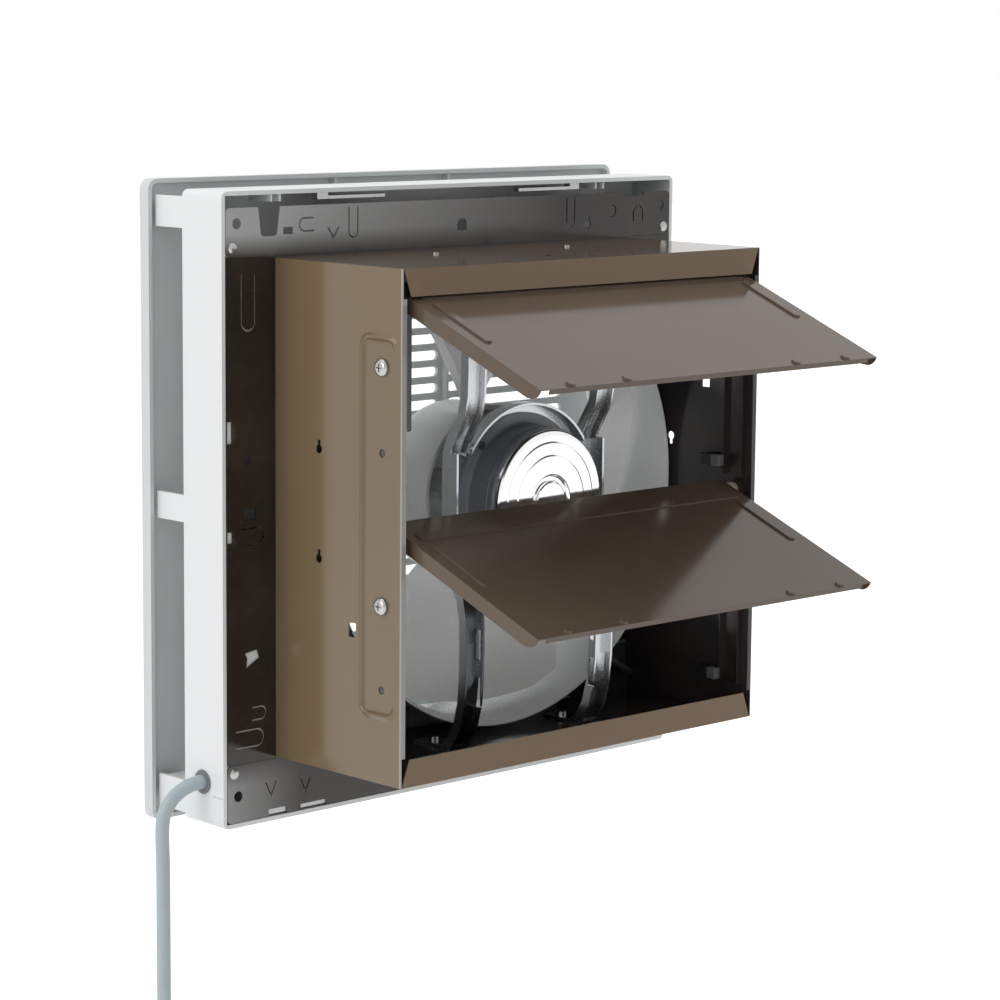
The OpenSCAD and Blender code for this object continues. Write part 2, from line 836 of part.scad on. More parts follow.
module bottom_panel() {
    color("saddlebrown") {
        difference() {
            block(-box_in + joint_gap, box_in - joint_gap, -sheet_t, box_d, -box_h, -box_in);
            foot_holes(-1);
            translate([(term_x0 + term_x1) / 2, (term_y0 + term_y1) / 2 + term_t, 0])
                rod_z(act_screw_r, -box_h - over, -box_in + over);
        }
        plate_y(box_d - sheet_t, box_d) lip_outline(-box_h, -box_h + lip_h);
        panel_side_tabs(-box_in, -box_in + tab_h);
        difference() {
            plate_y(-sheet_t, 0) bottom_strip_outline();
            corners(hole_dx / 2, hole_dz / 2) rod_y(hole_r, -sheet_t - over, over);
            corners(rivet_x, rivet_z) rod_y(rivet_r, -sheet_t - over, over);
        }
    }
}

module frame_rivets() {
    color("dimgray") corners(rivet_x, rivet_z) {
        rod_y(rivet_r, -rivet_l, 0);
        rod_y(rivet_head_r, 0, rivet_head_h);
    }
}

// Shutter rails, screws and cushions

module rail_lip_block(y) {
    difference() {
        block(box_in - rail_t - rail_lip, box_in - rail_t, y, y + rail_t, rail_z0, rail_z1);
        for (z = pivot_zs) block(
            box_in - rail_t - rail_lip - over, box_in - rail_t + over, y - over, y + rail_t + over,
            z - rail_gap_drop - rail_gap_h, z + rail_gap_h);
    }
}

module shutter_rail() {
    difference() {
        block(box_in - rail_t, box_in, rail_y0, rail_y1, rail_z0, rail_z1);
        for (z = pivot_zs) translate([0, rail_screw_y, z - rail_screw_drop])
            rod_x(wall_hole_r, box_in - rail_t - over, box_in + over);
    }
    rail_lip_block(rail_y0);
    rail_lip_block(rail_y1 - rail_t);
}

module shutter_rail_left() {
    color("dimgray") shutter_rail();
}

module shutter_rail_right() {
    color("dimgray") scale([-1, 1, 1]) shutter_rail();
}

module at_rail_screws() {
    for (s = [-1, 1], z = pivot_zs) scale([s, 1, 1])
        translate([0, rail_screw_y, z - rail_screw_drop]) children();
}

module rail_screws() {
    color("silver") at_rail_screws() {
        rod_x(screw_r, shutter_h + bush_clear + gap, box_h - pad_h);
        rod_x(rail_head_r, box_h - pad_h, box_h - pad_h + rail_head_h);
    }
}

module rubber_bushes() {
    color("black") at_rail_screws() difference() {
        rod_x(bush_r, shutter_h + bush_clear, box_in - rail_t);
        rod_x(screw_r, shutter_h + bush_clear - over, box_in - rail_t + over);
    }
}

module at_cushions() {
    for (z = pivot_zs) scale([-1, 1, 1]) translate([0, 0, z - cushion_drop]) children();
    translate([0, 0, pivot_zs[1] - cushion_drop]) children();
}

cushion_y = pivot_y + pivot_drop - shutter_flange - gap;

module cushion_holders() {
    color("black") at_cushions() block(
        shutter_h - cushion_in, box_in, cushion_y - cushion_l - holder_l, cushion_y - cushion_l,
        -cushion_h / 2, cushion_h / 2);
}

module shutter_cushions() {
    color("gray") at_cushions() block(
        shutter_h - cushion_in, box_in - rail_t - rail_lip - gap, cushion_y - cushion_l, cushion_y,
        -cushion_h / 2, cushion_h / 2);
}

module pivot_bushes() {
    color("ivory") for (s = [-1, 1], z = pivot_zs) scale([s, 1, 1])
        translate([0, pivot_y, z]) difference() {
            rod_x(pivot_bush_r, shutter_h + pivot_bush_clear, box_in - rail_t);
            rod_x(pivot_r + run_gap, shutter_h + pivot_bush_clear - over, box_in - rail_t - gap);
        }
}

// Shutters

module at_shutter(z) {
    translate([0, pivot_y, z]) rotate([-open_tilt, 0, 0]) children();
}

module end_flange_outline() {
    y0 = -pivot_in;
    y1 = shutter_len - pivot_in;
    z0 = pivot_drop - shutter_flange;
    translate([y0, z0]) square([y1 - y0 - corner_r, shutter_flange]);
    intersection() {
        translate([y1 - corner_r, pivot_drop]) circle(corner_r);
        translate([y1 - corner_r, z0]) square([corner_r, shutter_flange]);
    }
}

module shutter() {
    y0 = -pivot_in;
    y1 = shutter_len - pivot_in;
    top = pivot_drop + shutter_t;
    color("saddlebrown") {
        block(-shutter_h, shutter_h, y0, y1, pivot_drop, top);
        for (s = [-1, 1]) scale([s, 1, 1]) difference() {
            plate_x(shutter_h - shutter_t, shutter_h) end_flange_outline();
            rod_x(pivot_r, shutter_h - shutter_t - over, shutter_h + over);
        }
        block(-shutter_h, shutter_h, y0, y0 + shutter_t, pivot_drop - hinge_hem, pivot_drop);
        block(-shutter_h + corner_r, shutter_h - corner_r, y1 - shutter_t, y1,
            pivot_drop - free_hem, pivot_drop);
        block(-shutter_h + corner_r, shutter_h - corner_r, step_y, step_y + step_w, top, top + step_h);
        for (s = [-1, 1]) translate([s * (shutter_h - bead_in), bead_y + bead_l / 2, top])
            linear_extrude(bead_h) rotate(90) stadium(bead_l, bead_w);
        for (x = pip_shares) translate([shutter_h * x, y1 - pip_in, 0]) rod_z(pip_r, top, top + pip_h);
    }
}

module pivot_pins() {
    color("silver") for (s = [-1, 1]) scale([s, 1, 1])
        rod_x(pivot_r, shutter_h - 2 * crank_t, box_in - rail_t - 2 * gap);
}

// A crank arm with its pin, flat against the shutter's left end
module crank() {
    color("dimgray") {
        difference() {
            plate_x(shutter_h, shutter_h + crank_t) union() {
                circle(crank_w / 2);
                translate([-crank_l, 0]) circle(crank_w / 2);
                translate([-crank_l, -crank_w / 2]) square([crank_l, crank_w]);
            }
            rod_x(pivot_r, shutter_h - over, shutter_h + crank_t + over);
        }
        translate([0, -crank_l, 0])
            rod_x(crank_pin_r, shutter_h + crank_t, bar_x0 + bar_t + gap);
    }
}

// The crank stands square to the shutter, so it points indoors when the shutter is closed
module at_crank(z) {
    translate([0, pivot_y, z]) rotate([open_turn, 0, 0]) children();
}

module upper_shutter() {
    at_shutter(pivot_zs[0]) shutter();
}

module lower_shutter() {
    at_shutter(pivot_zs[1]) shutter();
}

module upper_pivot_pins() {
    at_shutter(pivot_zs[0]) pivot_pins();
}

module lower_pivot_pins() {
    at_shutter(pivot_zs[1]) pivot_pins();
}

module upper_crank() {
    at_crank(pivot_zs[0]) crank();
}

module lower_crank() {
    at_crank(pivot_zs[1]) crank();
}

// Place of the crank pins, of the link bar's ear and of the actuator's shaft
crank_pin_y = pivot_y - crank_l * cos(open_turn);
crank_pin_dz = -crank_l * sin(open_turn);
act_y = pivot_y - ear_y;
act_z = pivot_z - ear_z;
bar_x0 = shutter_h + crank_t + gap;

module link_bar() {
    y = crank_pin_y;
    z0 = pivot_zs[1] + crank_pin_dz;
    z1 = pivot_zs[0] + crank_pin_dz;
    color("lightgray") difference() {
        plate_x(bar_x0, bar_x0 + bar_t) {
            translate([y - bar_w / 2, z0]) square([bar_w, z1 - z0]);
            for (z = [z0, z1]) translate([y, z]) circle(bar_w / 2);
            translate([y - ear_y, z1 - ear_z - bar_w / 2]) square([ear_y, bar_w]);
            translate([y - ear_y, z1 - ear_z]) circle(bar_w / 2);
        }
        for (p = [[0, z1], [0, z0], [-ear_y, z1 - ear_z]]) translate([0, y + p[0], p[1]])
            rod_x(crank_pin_r + run_gap, bar_x0 - over, bar_x0 + bar_t + over);
    }
}

// Actuator on the left wall, behind the rails

act_x1 = shutter_h - gap;
act_x0 = act_x1 - act_depth;

module actuator_case() {
    color("gray") difference() {
        block(act_x0, act_x1, act_y0, act_y1, act_z0, act_z1);
        block(act_x0 - over, act_x1 - act_case_t, act_y0 + act_case_t, act_y1 - act_case_t,
            act_z0 + act_case_t, act_z1 - act_case_t);
        translate([0, act_y, act_z])
            rod_x(act_shaft_r + run_gap, act_x1 - act_case_t - over, act_x1 + over);
        for (z = act_leg_zs()) translate([0, (act_leg_y0 + act_leg_y1) / 2, z])
            rod_x(act_screw_r + run_gap, act_x1 - act_case_t - over, act_x1 + over);
    }
}

module actuator_cover() {
    color("gray") block(act_x0 - act_cover_t, act_x0, act_y0, act_y1, act_z0, act_z1);
}

// Heights of the two legs that carry the case, clear of the link bar's ear
function act_leg_zs() = [
    act_z0 + act_leg_in + act_leg_h / 2, act_z1 - act_leg_in - act_leg_h / 2
];

module actuator_bracket() {
    color("dimgray") difference() {
        union() {
            block(box_in - sheet_t, box_in, act_leg_y0, act_leg_y1, act_z0, act_z1);
            for (z = act_leg_zs()) block(
                act_x1, box_in - sheet_t, act_leg_y0, act_leg_y1, z - act_leg_h / 2, z + act_leg_h / 2);
        }
        for (z = act_leg_zs()) translate([0, (act_leg_y0 + act_leg_y1) / 2, z])
            rod_x(act_screw_r + run_gap, act_x1 - over, act_x1 + act_screw_l - act_case_t);
    }
}

module actuator_screws() {
    color("silver") for (z = act_leg_zs()) translate([0, (act_leg_y0 + act_leg_y1) / 2, z]) {
        rod_x(act_screw_head_r, act_x1 - act_case_t - act_screw_head_h, act_x1 - act_case_t);
        rod_x(act_screw_r, act_x1 - act_case_t, act_x1 + act_screw_l - act_case_t);
    }
}

module actuator_shaft() {
    color("silver") translate([0, act_y, act_z])
        rod_x(act_shaft_r, act_x1 - act_case_t - act_bush_l, act_x1 + gap + crank_t);
}

module actuator_lever() {
    color("dimgray") translate([0, act_y, act_z]) rotate([open_turn, 0, 0]) {
        difference() {
            plate_x(act_x1 + gap, act_x1 + gap + crank_t) {
                circle(crank_w / 2);
                translate([-crank_l, 0]) circle(crank_w / 2);
                translate([-crank_l, -crank_w / 2]) square([crank_l, crank_w]);
            }
            rod_x(act_shaft_r, act_x1, act_x1 + gap + crank_t + over);
        }
        translate([0, -crank_l, 0])
            rod_x(crank_pin_r, act_x1 + gap + crank_t, bar_x0 + bar_t + gap);
    }
}

module actuator_lead() {
    color("dimgray") tube(actuator_route, thin_lead_d, lead_sides, [0, 1, 0]);
}

// Motor stay

leg_z1 = box_in - stay_t;

function leg_path(s) = [for (p = leg_shares)
    [stay_y + leg_out * p[0], s * (wing_z - stay_t + (leg_z1 - wing_z + stay_t) * p[1])]];

module stay_leg(side, s) {
    path = leg_path(s);
    plate_x(-leg_w / 2, leg_w / 2) polygon(strip(path, s > 0 ? -stay_t : stay_t));
    for (x = [-leg_w / 2, leg_w / 2 - stay_t]) plate_x(x, x + stay_t) difference() {
        polygon(strip(path, s > 0 ? -leg_lip : leg_lip));
        if (s < 0 && side * x < 0) for (z = leg_window_shares)
            translate([stay_y + leg_out, -box_in * z]) square([leg_window_w, leg_window_h], center = true);
    }
    difference() {
        block(-leg_w / 2, leg_w / 2, stay_y - foot_l, stay_y + stay_t,
            s > 0 ? leg_z1 : -box_in, s > 0 ? box_in : -leg_z1);
        translate([0, stay_y - foot_l + foot_hole_in, 0]) rod_z(screw_r, -box_h, box_h);
    }
}

module motor_stay() {
    color("silver") {
        difference() {
            plate_y(stay_y, stay_y + stay_t) {
                circle(stay_r);
                square([2 * wing_x, 2 * wing_z], center = true);
            }
            rod_y(stay_hole_r, stay_y - over, stay_y + stay_t + over);
            for (a = [45:90:315]) rotate([0, a, 0]) translate([motor_screw_r, 0, 0])
                rod_y(act_screw_r, stay_y - over, stay_y + stay_t + over);
        }
        intersection() {
            difference() {
                rod_y(stay_r, stay_y + stay_t, stay_y + stay_t + stay_lip);
                rod_y(stay_r - stay_t, stay_y, stay_y + stay_t + stay_lip + over);
            }
            block(-leg_x + leg_w / 2, leg_x - leg_w / 2, stay_y, stay_y + stay_t + stay_lip,
                -stay_r, stay_r);
        }
        for (s = [-1, 1]) scale([s, 1, 1])
            block(wing_x - stay_t, wing_x, stay_y, stay_y + wing_lip, -wing_z, wing_z);
        intersection() {
            for (sx = [-1, 1], sz = [-1, 1]) translate([sx * leg_x, 0, 0]) stay_leg(sx, sz);
            block(-box_h, box_h, -box_d, box_d, -box_in, box_in);
        }
    }
}

module at_feet() {
    for (sx = [-1, 1], sz = [-1, 1])
        translate([sx * leg_x, stay_y - foot_l + foot_hole_in, 0]) scale([1, 1, sz]) children();
}

// Holes for the foot screws in the top panel, s = 1, or the bottom one, s = -1
module foot_holes(s) {
    for (sx = [-1, 1]) translate([sx * leg_x, stay_y - foot_l + foot_hole_in, 0]) scale([1, 1, s])
        rod_z(screw_r, box_in - over, box_h + over);
}

module stay_screws() {
    color("silver") at_feet() {
        rod_z(screw_r, leg_z1, box_h + screw_head_h / 2);
        rod_z(screw_head_r, leg_z1 - screw_head_h, leg_z1);
    }
}

// Motor

shell_y0 = stay_y + stay_t;
shell_y1 = motor_rear_y - cap_h;

module motor_shell() {
    color("dimgray") difference() {
        union() {
            rod_y(motor_r, shell_y0, shell_y1);
            rod_y(shell_flange_r, shell_y0, shell_y0 + shell_flange_t);
        }
        rod_y(motor_r - shell_t, shell_y0 - over, shell_y1 + over);
        for (a = [45:90:315]) rotate([0, a, 0]) translate([motor_screw_r, 0, 0])
            rod_y(act_screw_r, shell_y0 - over, shell_y0 + shell_flange_t + over);
    }
}

module motor_rear_cap() {
    color("silver") difference() {
        union() {
            rod_y(cap_r, shell_y1, motor_rear_y);
            rod_y(cap_ring_r, motor_rear_y, motor_rear_y + cap_ring_h);
            rod_y(cap_boss_r, motor_rear_y - over, motor_rear_y + cap_boss_h);
            rod_y(bearing_r + seat_t, shell_y1 - bearing_l, shell_y1 + over);
        }
        rod_y(cap_ring_r - cap_ring_w, motor_rear_y, motor_rear_y + cap_ring_h + over);
        rod_y(bearing_r, shell_y1 - bearing_l - over, shell_y1);
    }
    color("silver") rod_y(cap_boss_r, motor_rear_y, motor_rear_y + cap_boss_h);
}

front_y = stay_y - front_l;

module motor_front_cap() {
    color("silver") difference() {
        union() {
            rod_y(front_r, front_y, stay_y);
            rod_y(front_r, stay_y, stay_y + stay_t);
            rod_y(bearing_r + seat_t, front_y - bearing_l, front_y + over);
        }
        rod_y(front_r - front_t, front_y + front_t, stay_y + stay_t + over);
        rod_y(bearing_r, front_y - bearing_l + seat_t, front_y + seat_t + over);
        rod_y(shaft_r + gap, front_y - bearing_l - over, front_y + over);
    }
}

module motor_screws() {
    color("silver") for (a = [45:90:315]) rotate([0, a, 0]) translate([motor_screw_r, 0, 0]) {
        rod_y(act_screw_r, shell_y0 + shell_flange_t - motor_screw_l, shell_y0 + shell_flange_t);
        rod_y(act_screw_head_r, shell_y0 + shell_flange_t,
            shell_y0 + shell_flange_t + act_screw_head_h);
    }
}

module stator_core() {
    color("slategray") difference() {
        rod_y(front_r - front_t - run_gap, stator_y, stator_y + stator_l);
        rod_y(stator_in, stator_y - over, stator_y + stator_l + over);
    }
}

module stator_windings() {
    color("peru") for (y = [stator_y - winding_l, stator_y + stator_l]) difference() {
        rod_y(winding_r1, y, y + winding_l);
        rod_y(winding_r0, y - over, y + winding_l + over);
    }
}

module rear_bearing() {
    color("silver") difference() {
        rod_y(bearing_r, shell_y1 - bearing_l, shell_y1);
        rod_y(shaft_r + run_gap, shell_y1 - bearing_l - over, shell_y1 + over);
    }
}

module front_bearing() {
    y0 = front_y - bearing_l + seat_t;
    color("silver") difference() {
        rod_y(bearing_r, y0, y0 + bearing_l);
        rod_y(shaft_r + run_gap, y0 - over, y0 + bearing_l + over);
    }
}

// Shaft, rotor and fan

pin_y = hub_y0 + hub_t + hub_boss_l + pin_r;

module motor_shaft() {
    color("silver") difference() {
        rod_y(shaft_r, shaft_y0, shell_y1 - gap);
        translate([0, pin_y, 0]) rod_x(pin_r, -shaft_r - over, shaft_r + over);
    }
}

module rotor() {
    color("darkgray") difference() {
        rod_y(stator_in - air_gap, stator_y, stator_y + stator_l);
        rod_y(shaft_r + run_gap, stator_y - over, stator_y + stator_l + over);
    }
}

module hub_outline() {
    difference() {
        union() {
            translate([0, hub_y0 + hub_round]) square([hub_r, hub_y1 - hub_y0 - hub_round]);
            translate([0, hub_y0]) square([hub_r - hub_round, hub_round]);
            translate([hub_r - hub_round, hub_y0 + hub_round]) circle(hub_round);
        }
        translate([0, hub_y0 + hub_round])
            square([hub_r - hub_t, hub_y1 - hub_y0 - hub_round + over]);
        translate([0, hub_y0 + hub_t]) square([hub_r - hub_round, hub_round]);
        translate([hub_r - hub_round, hub_y0 + hub_round]) circle(hub_round - hub_t);
    }
    translate([shaft_r + run_gap, hub_y0])
        square([hub_boss_r - shaft_r - run_gap, hub_t + hub_boss_l]);
}

module blade_region() {
    r0 = hub_r - hub_t / 2;
    polygon([for (p = blade_outline_shares)
        [r0 + (blade_r - r0) * p[0], blade_y0 + (blade_y1 - blade_y0) * p[1]]]);
}

module blades() {
    r0 = hub_r - hub_t / 2;
    intersection() {
        translate([0, blade_y1, 0]) rotate([90, 0, 0])
            linear_extrude(height = blade_y1 - blade_y0, twist = -blade_twist,
                slices = blade_slices, segments = blade_segments)
            for (i = [0:blade_count - 1]) rotate(blade_a0 + i * 360 / blade_count)
                translate([r0, -blade_t / 2]) square([blade_r, blade_t]);
        turned_y() blade_region();
    }
}

module impeller() {
    color("gainsboro") {
        difference() {
            turned_y() hub_outline();
            rod_y(shaft_r + run_gap, hub_y0 - over, hub_y0 + hub_t + hub_boss_l + over);
            translate([0, pin_y, 0]) rod_x(pin_r, -pin_l / 2, pin_l / 2);
        }
        blades();
    }
}

module drive_pin() {
    color("silver") translate([0, pin_y, 0]) rod_x(pin_r, -pin_l / 2, pin_l / 2);
}

module spinner_knob() {
    y1 = hub_y0;
    y0 = y1 - knob_l;
    color("whitesmoke") difference() {
        union() {
            rod_y(knob_r, y0 + knob_step_l, y1);
            rod_y(knob_nose_r, y0, y1);
            for (i = [0:knob_ribs - 1]) rotate([0, i * 360 / knob_ribs, 0])
                translate([knob_r, 0, 0]) rod_y(knob_rib_r, y0 + knob_step_l, y1);
        }
        rod_y(shaft_r + run_gap, shaft_y0, y1 + over);
    }
}

// Terminal box and leads

module terminal_box() {
    z1 = -box_in + term_h;
    color("dimgray") difference() {
        block(term_x0, term_x1, term_y0, term_y1, -box_in, z1);
        block(term_x0 + term_t, term_x1 - term_t, term_y0 + term_t, term_y1 - term_t,
            -box_in + term_t, z1 + over);
        translate([(term_x0 + term_x1) / 2, (term_y0 + term_y1) / 2 + term_t, 0])
            rod_z(act_screw_r, -box_in - over, -box_in + term_t + over);
    }
}

module terminal_cover() {
    z1 = -box_in + term_h;
    color("gray") block(term_x0, term_x1, term_y0, term_y1, z1, z1 + term_t);
}

module terminal_screw() {
    z1 = -box_in + term_t;
    color("silver") translate([(term_x0 + term_x1) / 2, (term_y0 + term_y1) / 2 + term_t, 0]) {
        rod_z(act_screw_r, z1 - term_screw_l, z1);
        rod_z(act_screw_head_r, z1, z1 + act_screw_head_h);
    }
}

module motor_lead() {
    color("black") tube(lead_route, lead_d, lead_sides, [0, 1, 0]);
}

module inner_cord() {
    color("gray") tube(inner_route, cord_d, cord_sides, [0, 0, 1]);
}

// Cord, coil and plug

module cord_grommet() {
    color("gray") translate([0, grommet_y, grommet_z]) {
        rod_x(grommet_r, inner_route[0][0], frame_h + grommet_flange_l);
        rod_x(grommet_flange_r, frame_h, frame_h + grommet_flange_l);
    }
}

module cord() {
    color("silver") tube(cord_route, cord_d, cord_sides, [0, 1, 0]);
}

cord_end = cord_route[len(cord_route) - 1];
coil_top = cord_end + [0, 0, -cord_d];
coil_n = coil_turns * coil_steps;
coil_points = concat(
    [cord_end],
    [for (i = [0:coil_n]) let (a = 360 * i / coil_steps)
        coil_top + [coil_r * (cos(a) - 1), -coil_pitch * i / coil_steps, -coil_r * sin(a)]],
    [for (k = [1:tail_steps])
        coil_top + [0, -coil_pitch * coil_turns, -tail_l * k / tail_steps]]
);

// Least gap of the coil to itself, measured between points at least half a turn apart
coil_gap = min([for (i = [0:len(coil_points) - 1], j = [i + coil_steps / 2:1:len(coil_points) - 1])
    norm(coil_points[i] - coil_points[j])]) - cord_d;
echo(coil_gap = coil_gap);

module cord_coil() {
    color("silver") tube(coil_points, cord_d, coil_sides, [1, 0, 0]);
}

module cord_tie() {
    w = cord_d + 2 * tie_gap;
    d = cord_d + coil_pitch * (coil_turns - 1) + 2 * tie_gap;
    mid = coil_top + [-2 * coil_r, -coil_pitch * coil_turns / 2, -tie_h / 2];
    color("dimgray") translate(mid) linear_extrude(tie_h) difference() {
        square([w + 2 * tie_t, d + 2 * tie_t], center = true);
        square([w, d], center = true);
    }
}

plug_top = coil_points[len(coil_points) - 1];

module plug_body() {
    color("gray") translate(plug_top) {
        rod_z(plug_boot_r, -plug_boot_l, 0);
        translate([0, 0, -plug_boot_l - plug_l]) linear_extrude(plug_l)
            round_rect(plug_w, plug_d, plug_cr);
    }
}

module plug_pins() {
    color("gold") translate(plug_top + [0, 0, -plug_boot_l - plug_l]) for (s = [-1, 1])
        block(s * blade_pin_pitch / 2 - blade_pin_t / 2, s * blade_pin_pitch / 2 + blade_pin_t / 2,
            -blade_pin_w / 2, blade_pin_w / 2, -blade_pin_l, 0);
}

front_frame();
front_panel();
catch_springs();
orifice();
orifice_screws();
side_panel_left();
side_panel_right();
top_panel();
bottom_panel();
frame_rivets();
shutter_rail_left();
shutter_rail_right();
rail_screws();
rubber_bushes();
cushion_holders();
shutter_cushions();
pivot_bushes();
upper_shutter();
upper_pivot_pins();
upper_crank();
lower_shutter();
lower_pivot_pins();
lower_crank();
link_bar();
actuator_case();
actuator_cover();
actuator_bracket();
actuator_screws();
actuator_shaft();
actuator_lever();
actuator_lead();
motor_stay();
stay_screws();
motor_shell();
motor_rear_cap();
motor_front_cap();
motor_screws();
stator_core();
stator_windings();
rear_bearing();
front_bearing();
motor_shaft();
rotor();
impeller();
drive_pin();
spinner_knob();
terminal_box();
terminal_cover();
terminal_screw();
motor_lead();
inner_cord();
cord_grommet();
cord();
cord_coil();
cord_tie();
plug_body();
plug_pins();
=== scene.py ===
import json
import math

import bmesh
import bpy
from mathutils import Matrix, Vector


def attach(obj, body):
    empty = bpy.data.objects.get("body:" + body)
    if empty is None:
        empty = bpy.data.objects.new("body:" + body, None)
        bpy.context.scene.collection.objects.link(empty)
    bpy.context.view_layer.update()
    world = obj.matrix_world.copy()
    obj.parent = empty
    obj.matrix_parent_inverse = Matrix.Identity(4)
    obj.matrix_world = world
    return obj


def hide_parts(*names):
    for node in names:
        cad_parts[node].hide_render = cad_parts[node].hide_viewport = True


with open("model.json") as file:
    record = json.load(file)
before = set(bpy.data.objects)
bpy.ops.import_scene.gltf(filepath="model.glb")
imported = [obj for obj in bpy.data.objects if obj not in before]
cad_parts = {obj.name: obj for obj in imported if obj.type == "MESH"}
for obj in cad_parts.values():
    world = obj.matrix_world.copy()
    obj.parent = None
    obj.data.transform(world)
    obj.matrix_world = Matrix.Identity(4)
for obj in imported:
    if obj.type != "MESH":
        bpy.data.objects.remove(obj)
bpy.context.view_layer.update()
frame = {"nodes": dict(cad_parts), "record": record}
scene = bpy.context.scene
mm = 0.001
bodyOf = {node: body for body, nodes in frame["record"]["behaviour"]["bodies"].items() for node in nodes}
slotOf = {row["node"]: row["material_slot"] for row in frame["record"]["subparts"]}
print("frame loaded:", len(bodyOf), "nodes")

# Camera, placed as the photograph was taken
camera = {
    "place": (1239.93, 1335.13, 261.72),
    "yaw": 223.6203,
    "pitch": -8.4122,
    "roll": 0.5207,
    "lens": 114.456,
    "sensor": 36.0,
}


def makeCamera(spec):
    yaw, pitch, roll = (math.radians(spec[k]) for k in ("yaw", "pitch", "roll"))
    ahead = Vector((math.sin(yaw) * math.cos(pitch), math.cos(yaw) * math.cos(pitch), math.sin(pitch)))
    side = ahead.cross(Vector((0, 0, 1))).normalized()
    over = side.cross(ahead)
    right = side * math.cos(roll) + over * math.sin(roll)
    upward = over * math.cos(roll) - side * math.sin(roll)
    lens = bpy.data.cameras.new("photoLens")
    lens.lens, lens.sensor_width = spec["lens"], spec["sensor"]
    holder = bpy.data.objects.new("photoCamera", lens)
    scene.collection.objects.link(holder)
    turn = Matrix((right, upward, -ahead)).transposed().to_4x4()
    holder.matrix_world = Matrix.Translation(Vector(spec["place"]) * mm) @ turn
    scene.camera = holder


makeCamera(camera)
scene.view_settings.view_transform = "Standard"


# Small tools for node trees

def put(tree, kind, values=None, **settings):
    node = tree.nodes.new(kind)
    for name, value in settings.items():
        setattr(node, name, value)
    for name, value in (values or {}).items():
        node.inputs[name].default_value = value
    return node


def join(tree, source, socket, target, entry):
    tree.links.new(source.outputs[socket], target.inputs[entry])


def newGroup(name, inputs, outputs):
    tree = bpy.data.node_groups.new(name, "ShaderNodeTree")
    for label, kind, value in inputs:
        socket = tree.interface.new_socket(label, in_out="INPUT", socket_type="NodeSocket" + kind)
        socket.default_value = value
    for label, kind in outputs:
        tree.interface.new_socket(label, in_out="OUTPUT", socket_type="NodeSocket" + kind)
    return tree, tree.nodes.new("NodeGroupInput"), tree.nodes.new("NodeGroupOutput")


def fromSrgb(r, g, b):
    return tuple((c / 255 / 12.92 if c < 10 else ((c / 255 + 0.055) / 1.055) ** 2.4) for c in (r, g, b)) + (1,)


# Shared surface effects

grainLook = {
    "fine": {"Detail": 3.0, "Roughness": 0.55}, "fineHeight": 0.0004,
    "broad": {"Detail": 1.0, "Roughness": 0.4}, "broadHeight": 0.004,
    "usual": {"From Min": 0.3, "From Max": 0.7},
}
dustLook = {"noise": {"Detail": 5.0, "Roughness": 0.6}, "usual": {"From Min": 0.42, "From Max": 0.68}}


def makeSurfaceGrain():
    tree, start, end = newGroup(
        "surfaceGrain",
        [("Grain Size", "Float", 600.0), ("Grain Depth", "Float", 0.1), ("Wave Size", "Float", 12.0),
         ("Wave Depth", "Float", 0.1)],
        [("Normal", "Vector"), ("Grain", "Float"), ("Wave", "Float")])
    where = put(tree, "ShaderNodeTexCoord")
    fine = put(tree, "ShaderNodeTexNoise", grainLook["fine"])
    broad = put(tree, "ShaderNodeTexNoise", grainLook["broad"])
    for noise, size in ((fine, "Grain Size"), (broad, "Wave Size")):
        join(tree, where, "Object", noise, "Vector")
        join(tree, start, size, noise, "Scale")
    waves = put(tree, "ShaderNodeBump", {"Distance": grainLook["broadHeight"]})
    join(tree, broad, "Fac", waves, "Height")
    join(tree, start, "Wave Depth", waves, "Strength")
    grain = put(tree, "ShaderNodeBump", {"Distance": grainLook["fineHeight"]})
    join(tree, fine, "Fac", grain, "Height")
    join(tree, start, "Grain Depth", grain, "Strength")
    join(tree, waves, "Normal", grain, "Normal")
    join(tree, grain, "Normal", end, "Normal")
    join(tree, fine, "Fac", end, "Grain")
    join(tree, broad, "Fac", end, "Wave")
    return tree


def makeDustFilm():
    tree, start, end = newGroup(
        "dustFilm",
        [("Patch Size", "Float", 30.0), ("Amount", "Float", 0.2)],
        [("Mask", "Float")])
    where = put(tree, "ShaderNodeTexCoord")
    noise = put(tree, "ShaderNodeTexNoise", dustLook["noise"])
    join(tree, where, "Object", noise, "Vector")
    join(tree, start, "Patch Size", noise, "Scale")
    ramp = put(tree, "ShaderNodeMapRange", dustLook["usual"])
    join(tree, noise, "Fac", ramp, "Value")
    shown = put(tree, "ShaderNodeMath", operation="MULTIPLY", use_clamp=True)
    join(tree, ramp, "Result", shown, 0)
    join(tree, start, "Amount", shown, 1)
    join(tree, shown, "Value", end, "Mask")
    return tree


surfaceGrain = makeSurfaceGrain()
dustFilm = makeDustFilm()


def placeGroup(tree, group, values):
    node = tree.nodes.new("ShaderNodeGroup")
    node.node_tree = group
    for name, value in values.items():
        node.inputs[name].default_value = value
    return node


def mixColours(tree, mask, socket, first, second):
    mix = put(tree, "ShaderNodeMix", data_type="RGBA")
    join(tree, mask, socket, mix, 0)
    for entry, colour in ((6, first), (7, second)):
        if isinstance(colour, tuple):
            mix.inputs[entry].default_value = colour
        else:
            tree.links.new(colour, mix.inputs[entry])
    return mix.outputs[2]


def spread(tree, source, socket, low, high):
    node = put(tree, "ShaderNodeMapRange", dict(grainLook["usual"], **{"To Min": low, "To Max": high}))
    join(tree, source, socket, node, "Value")
    return node.outputs["Result"]


def placeParts(tree):
    where = put(tree, "ShaderNodeTexCoord")
    parts = put(tree, "ShaderNodeSeparateXYZ")
    join(tree, where, "Object", parts, "Vector")
    return parts


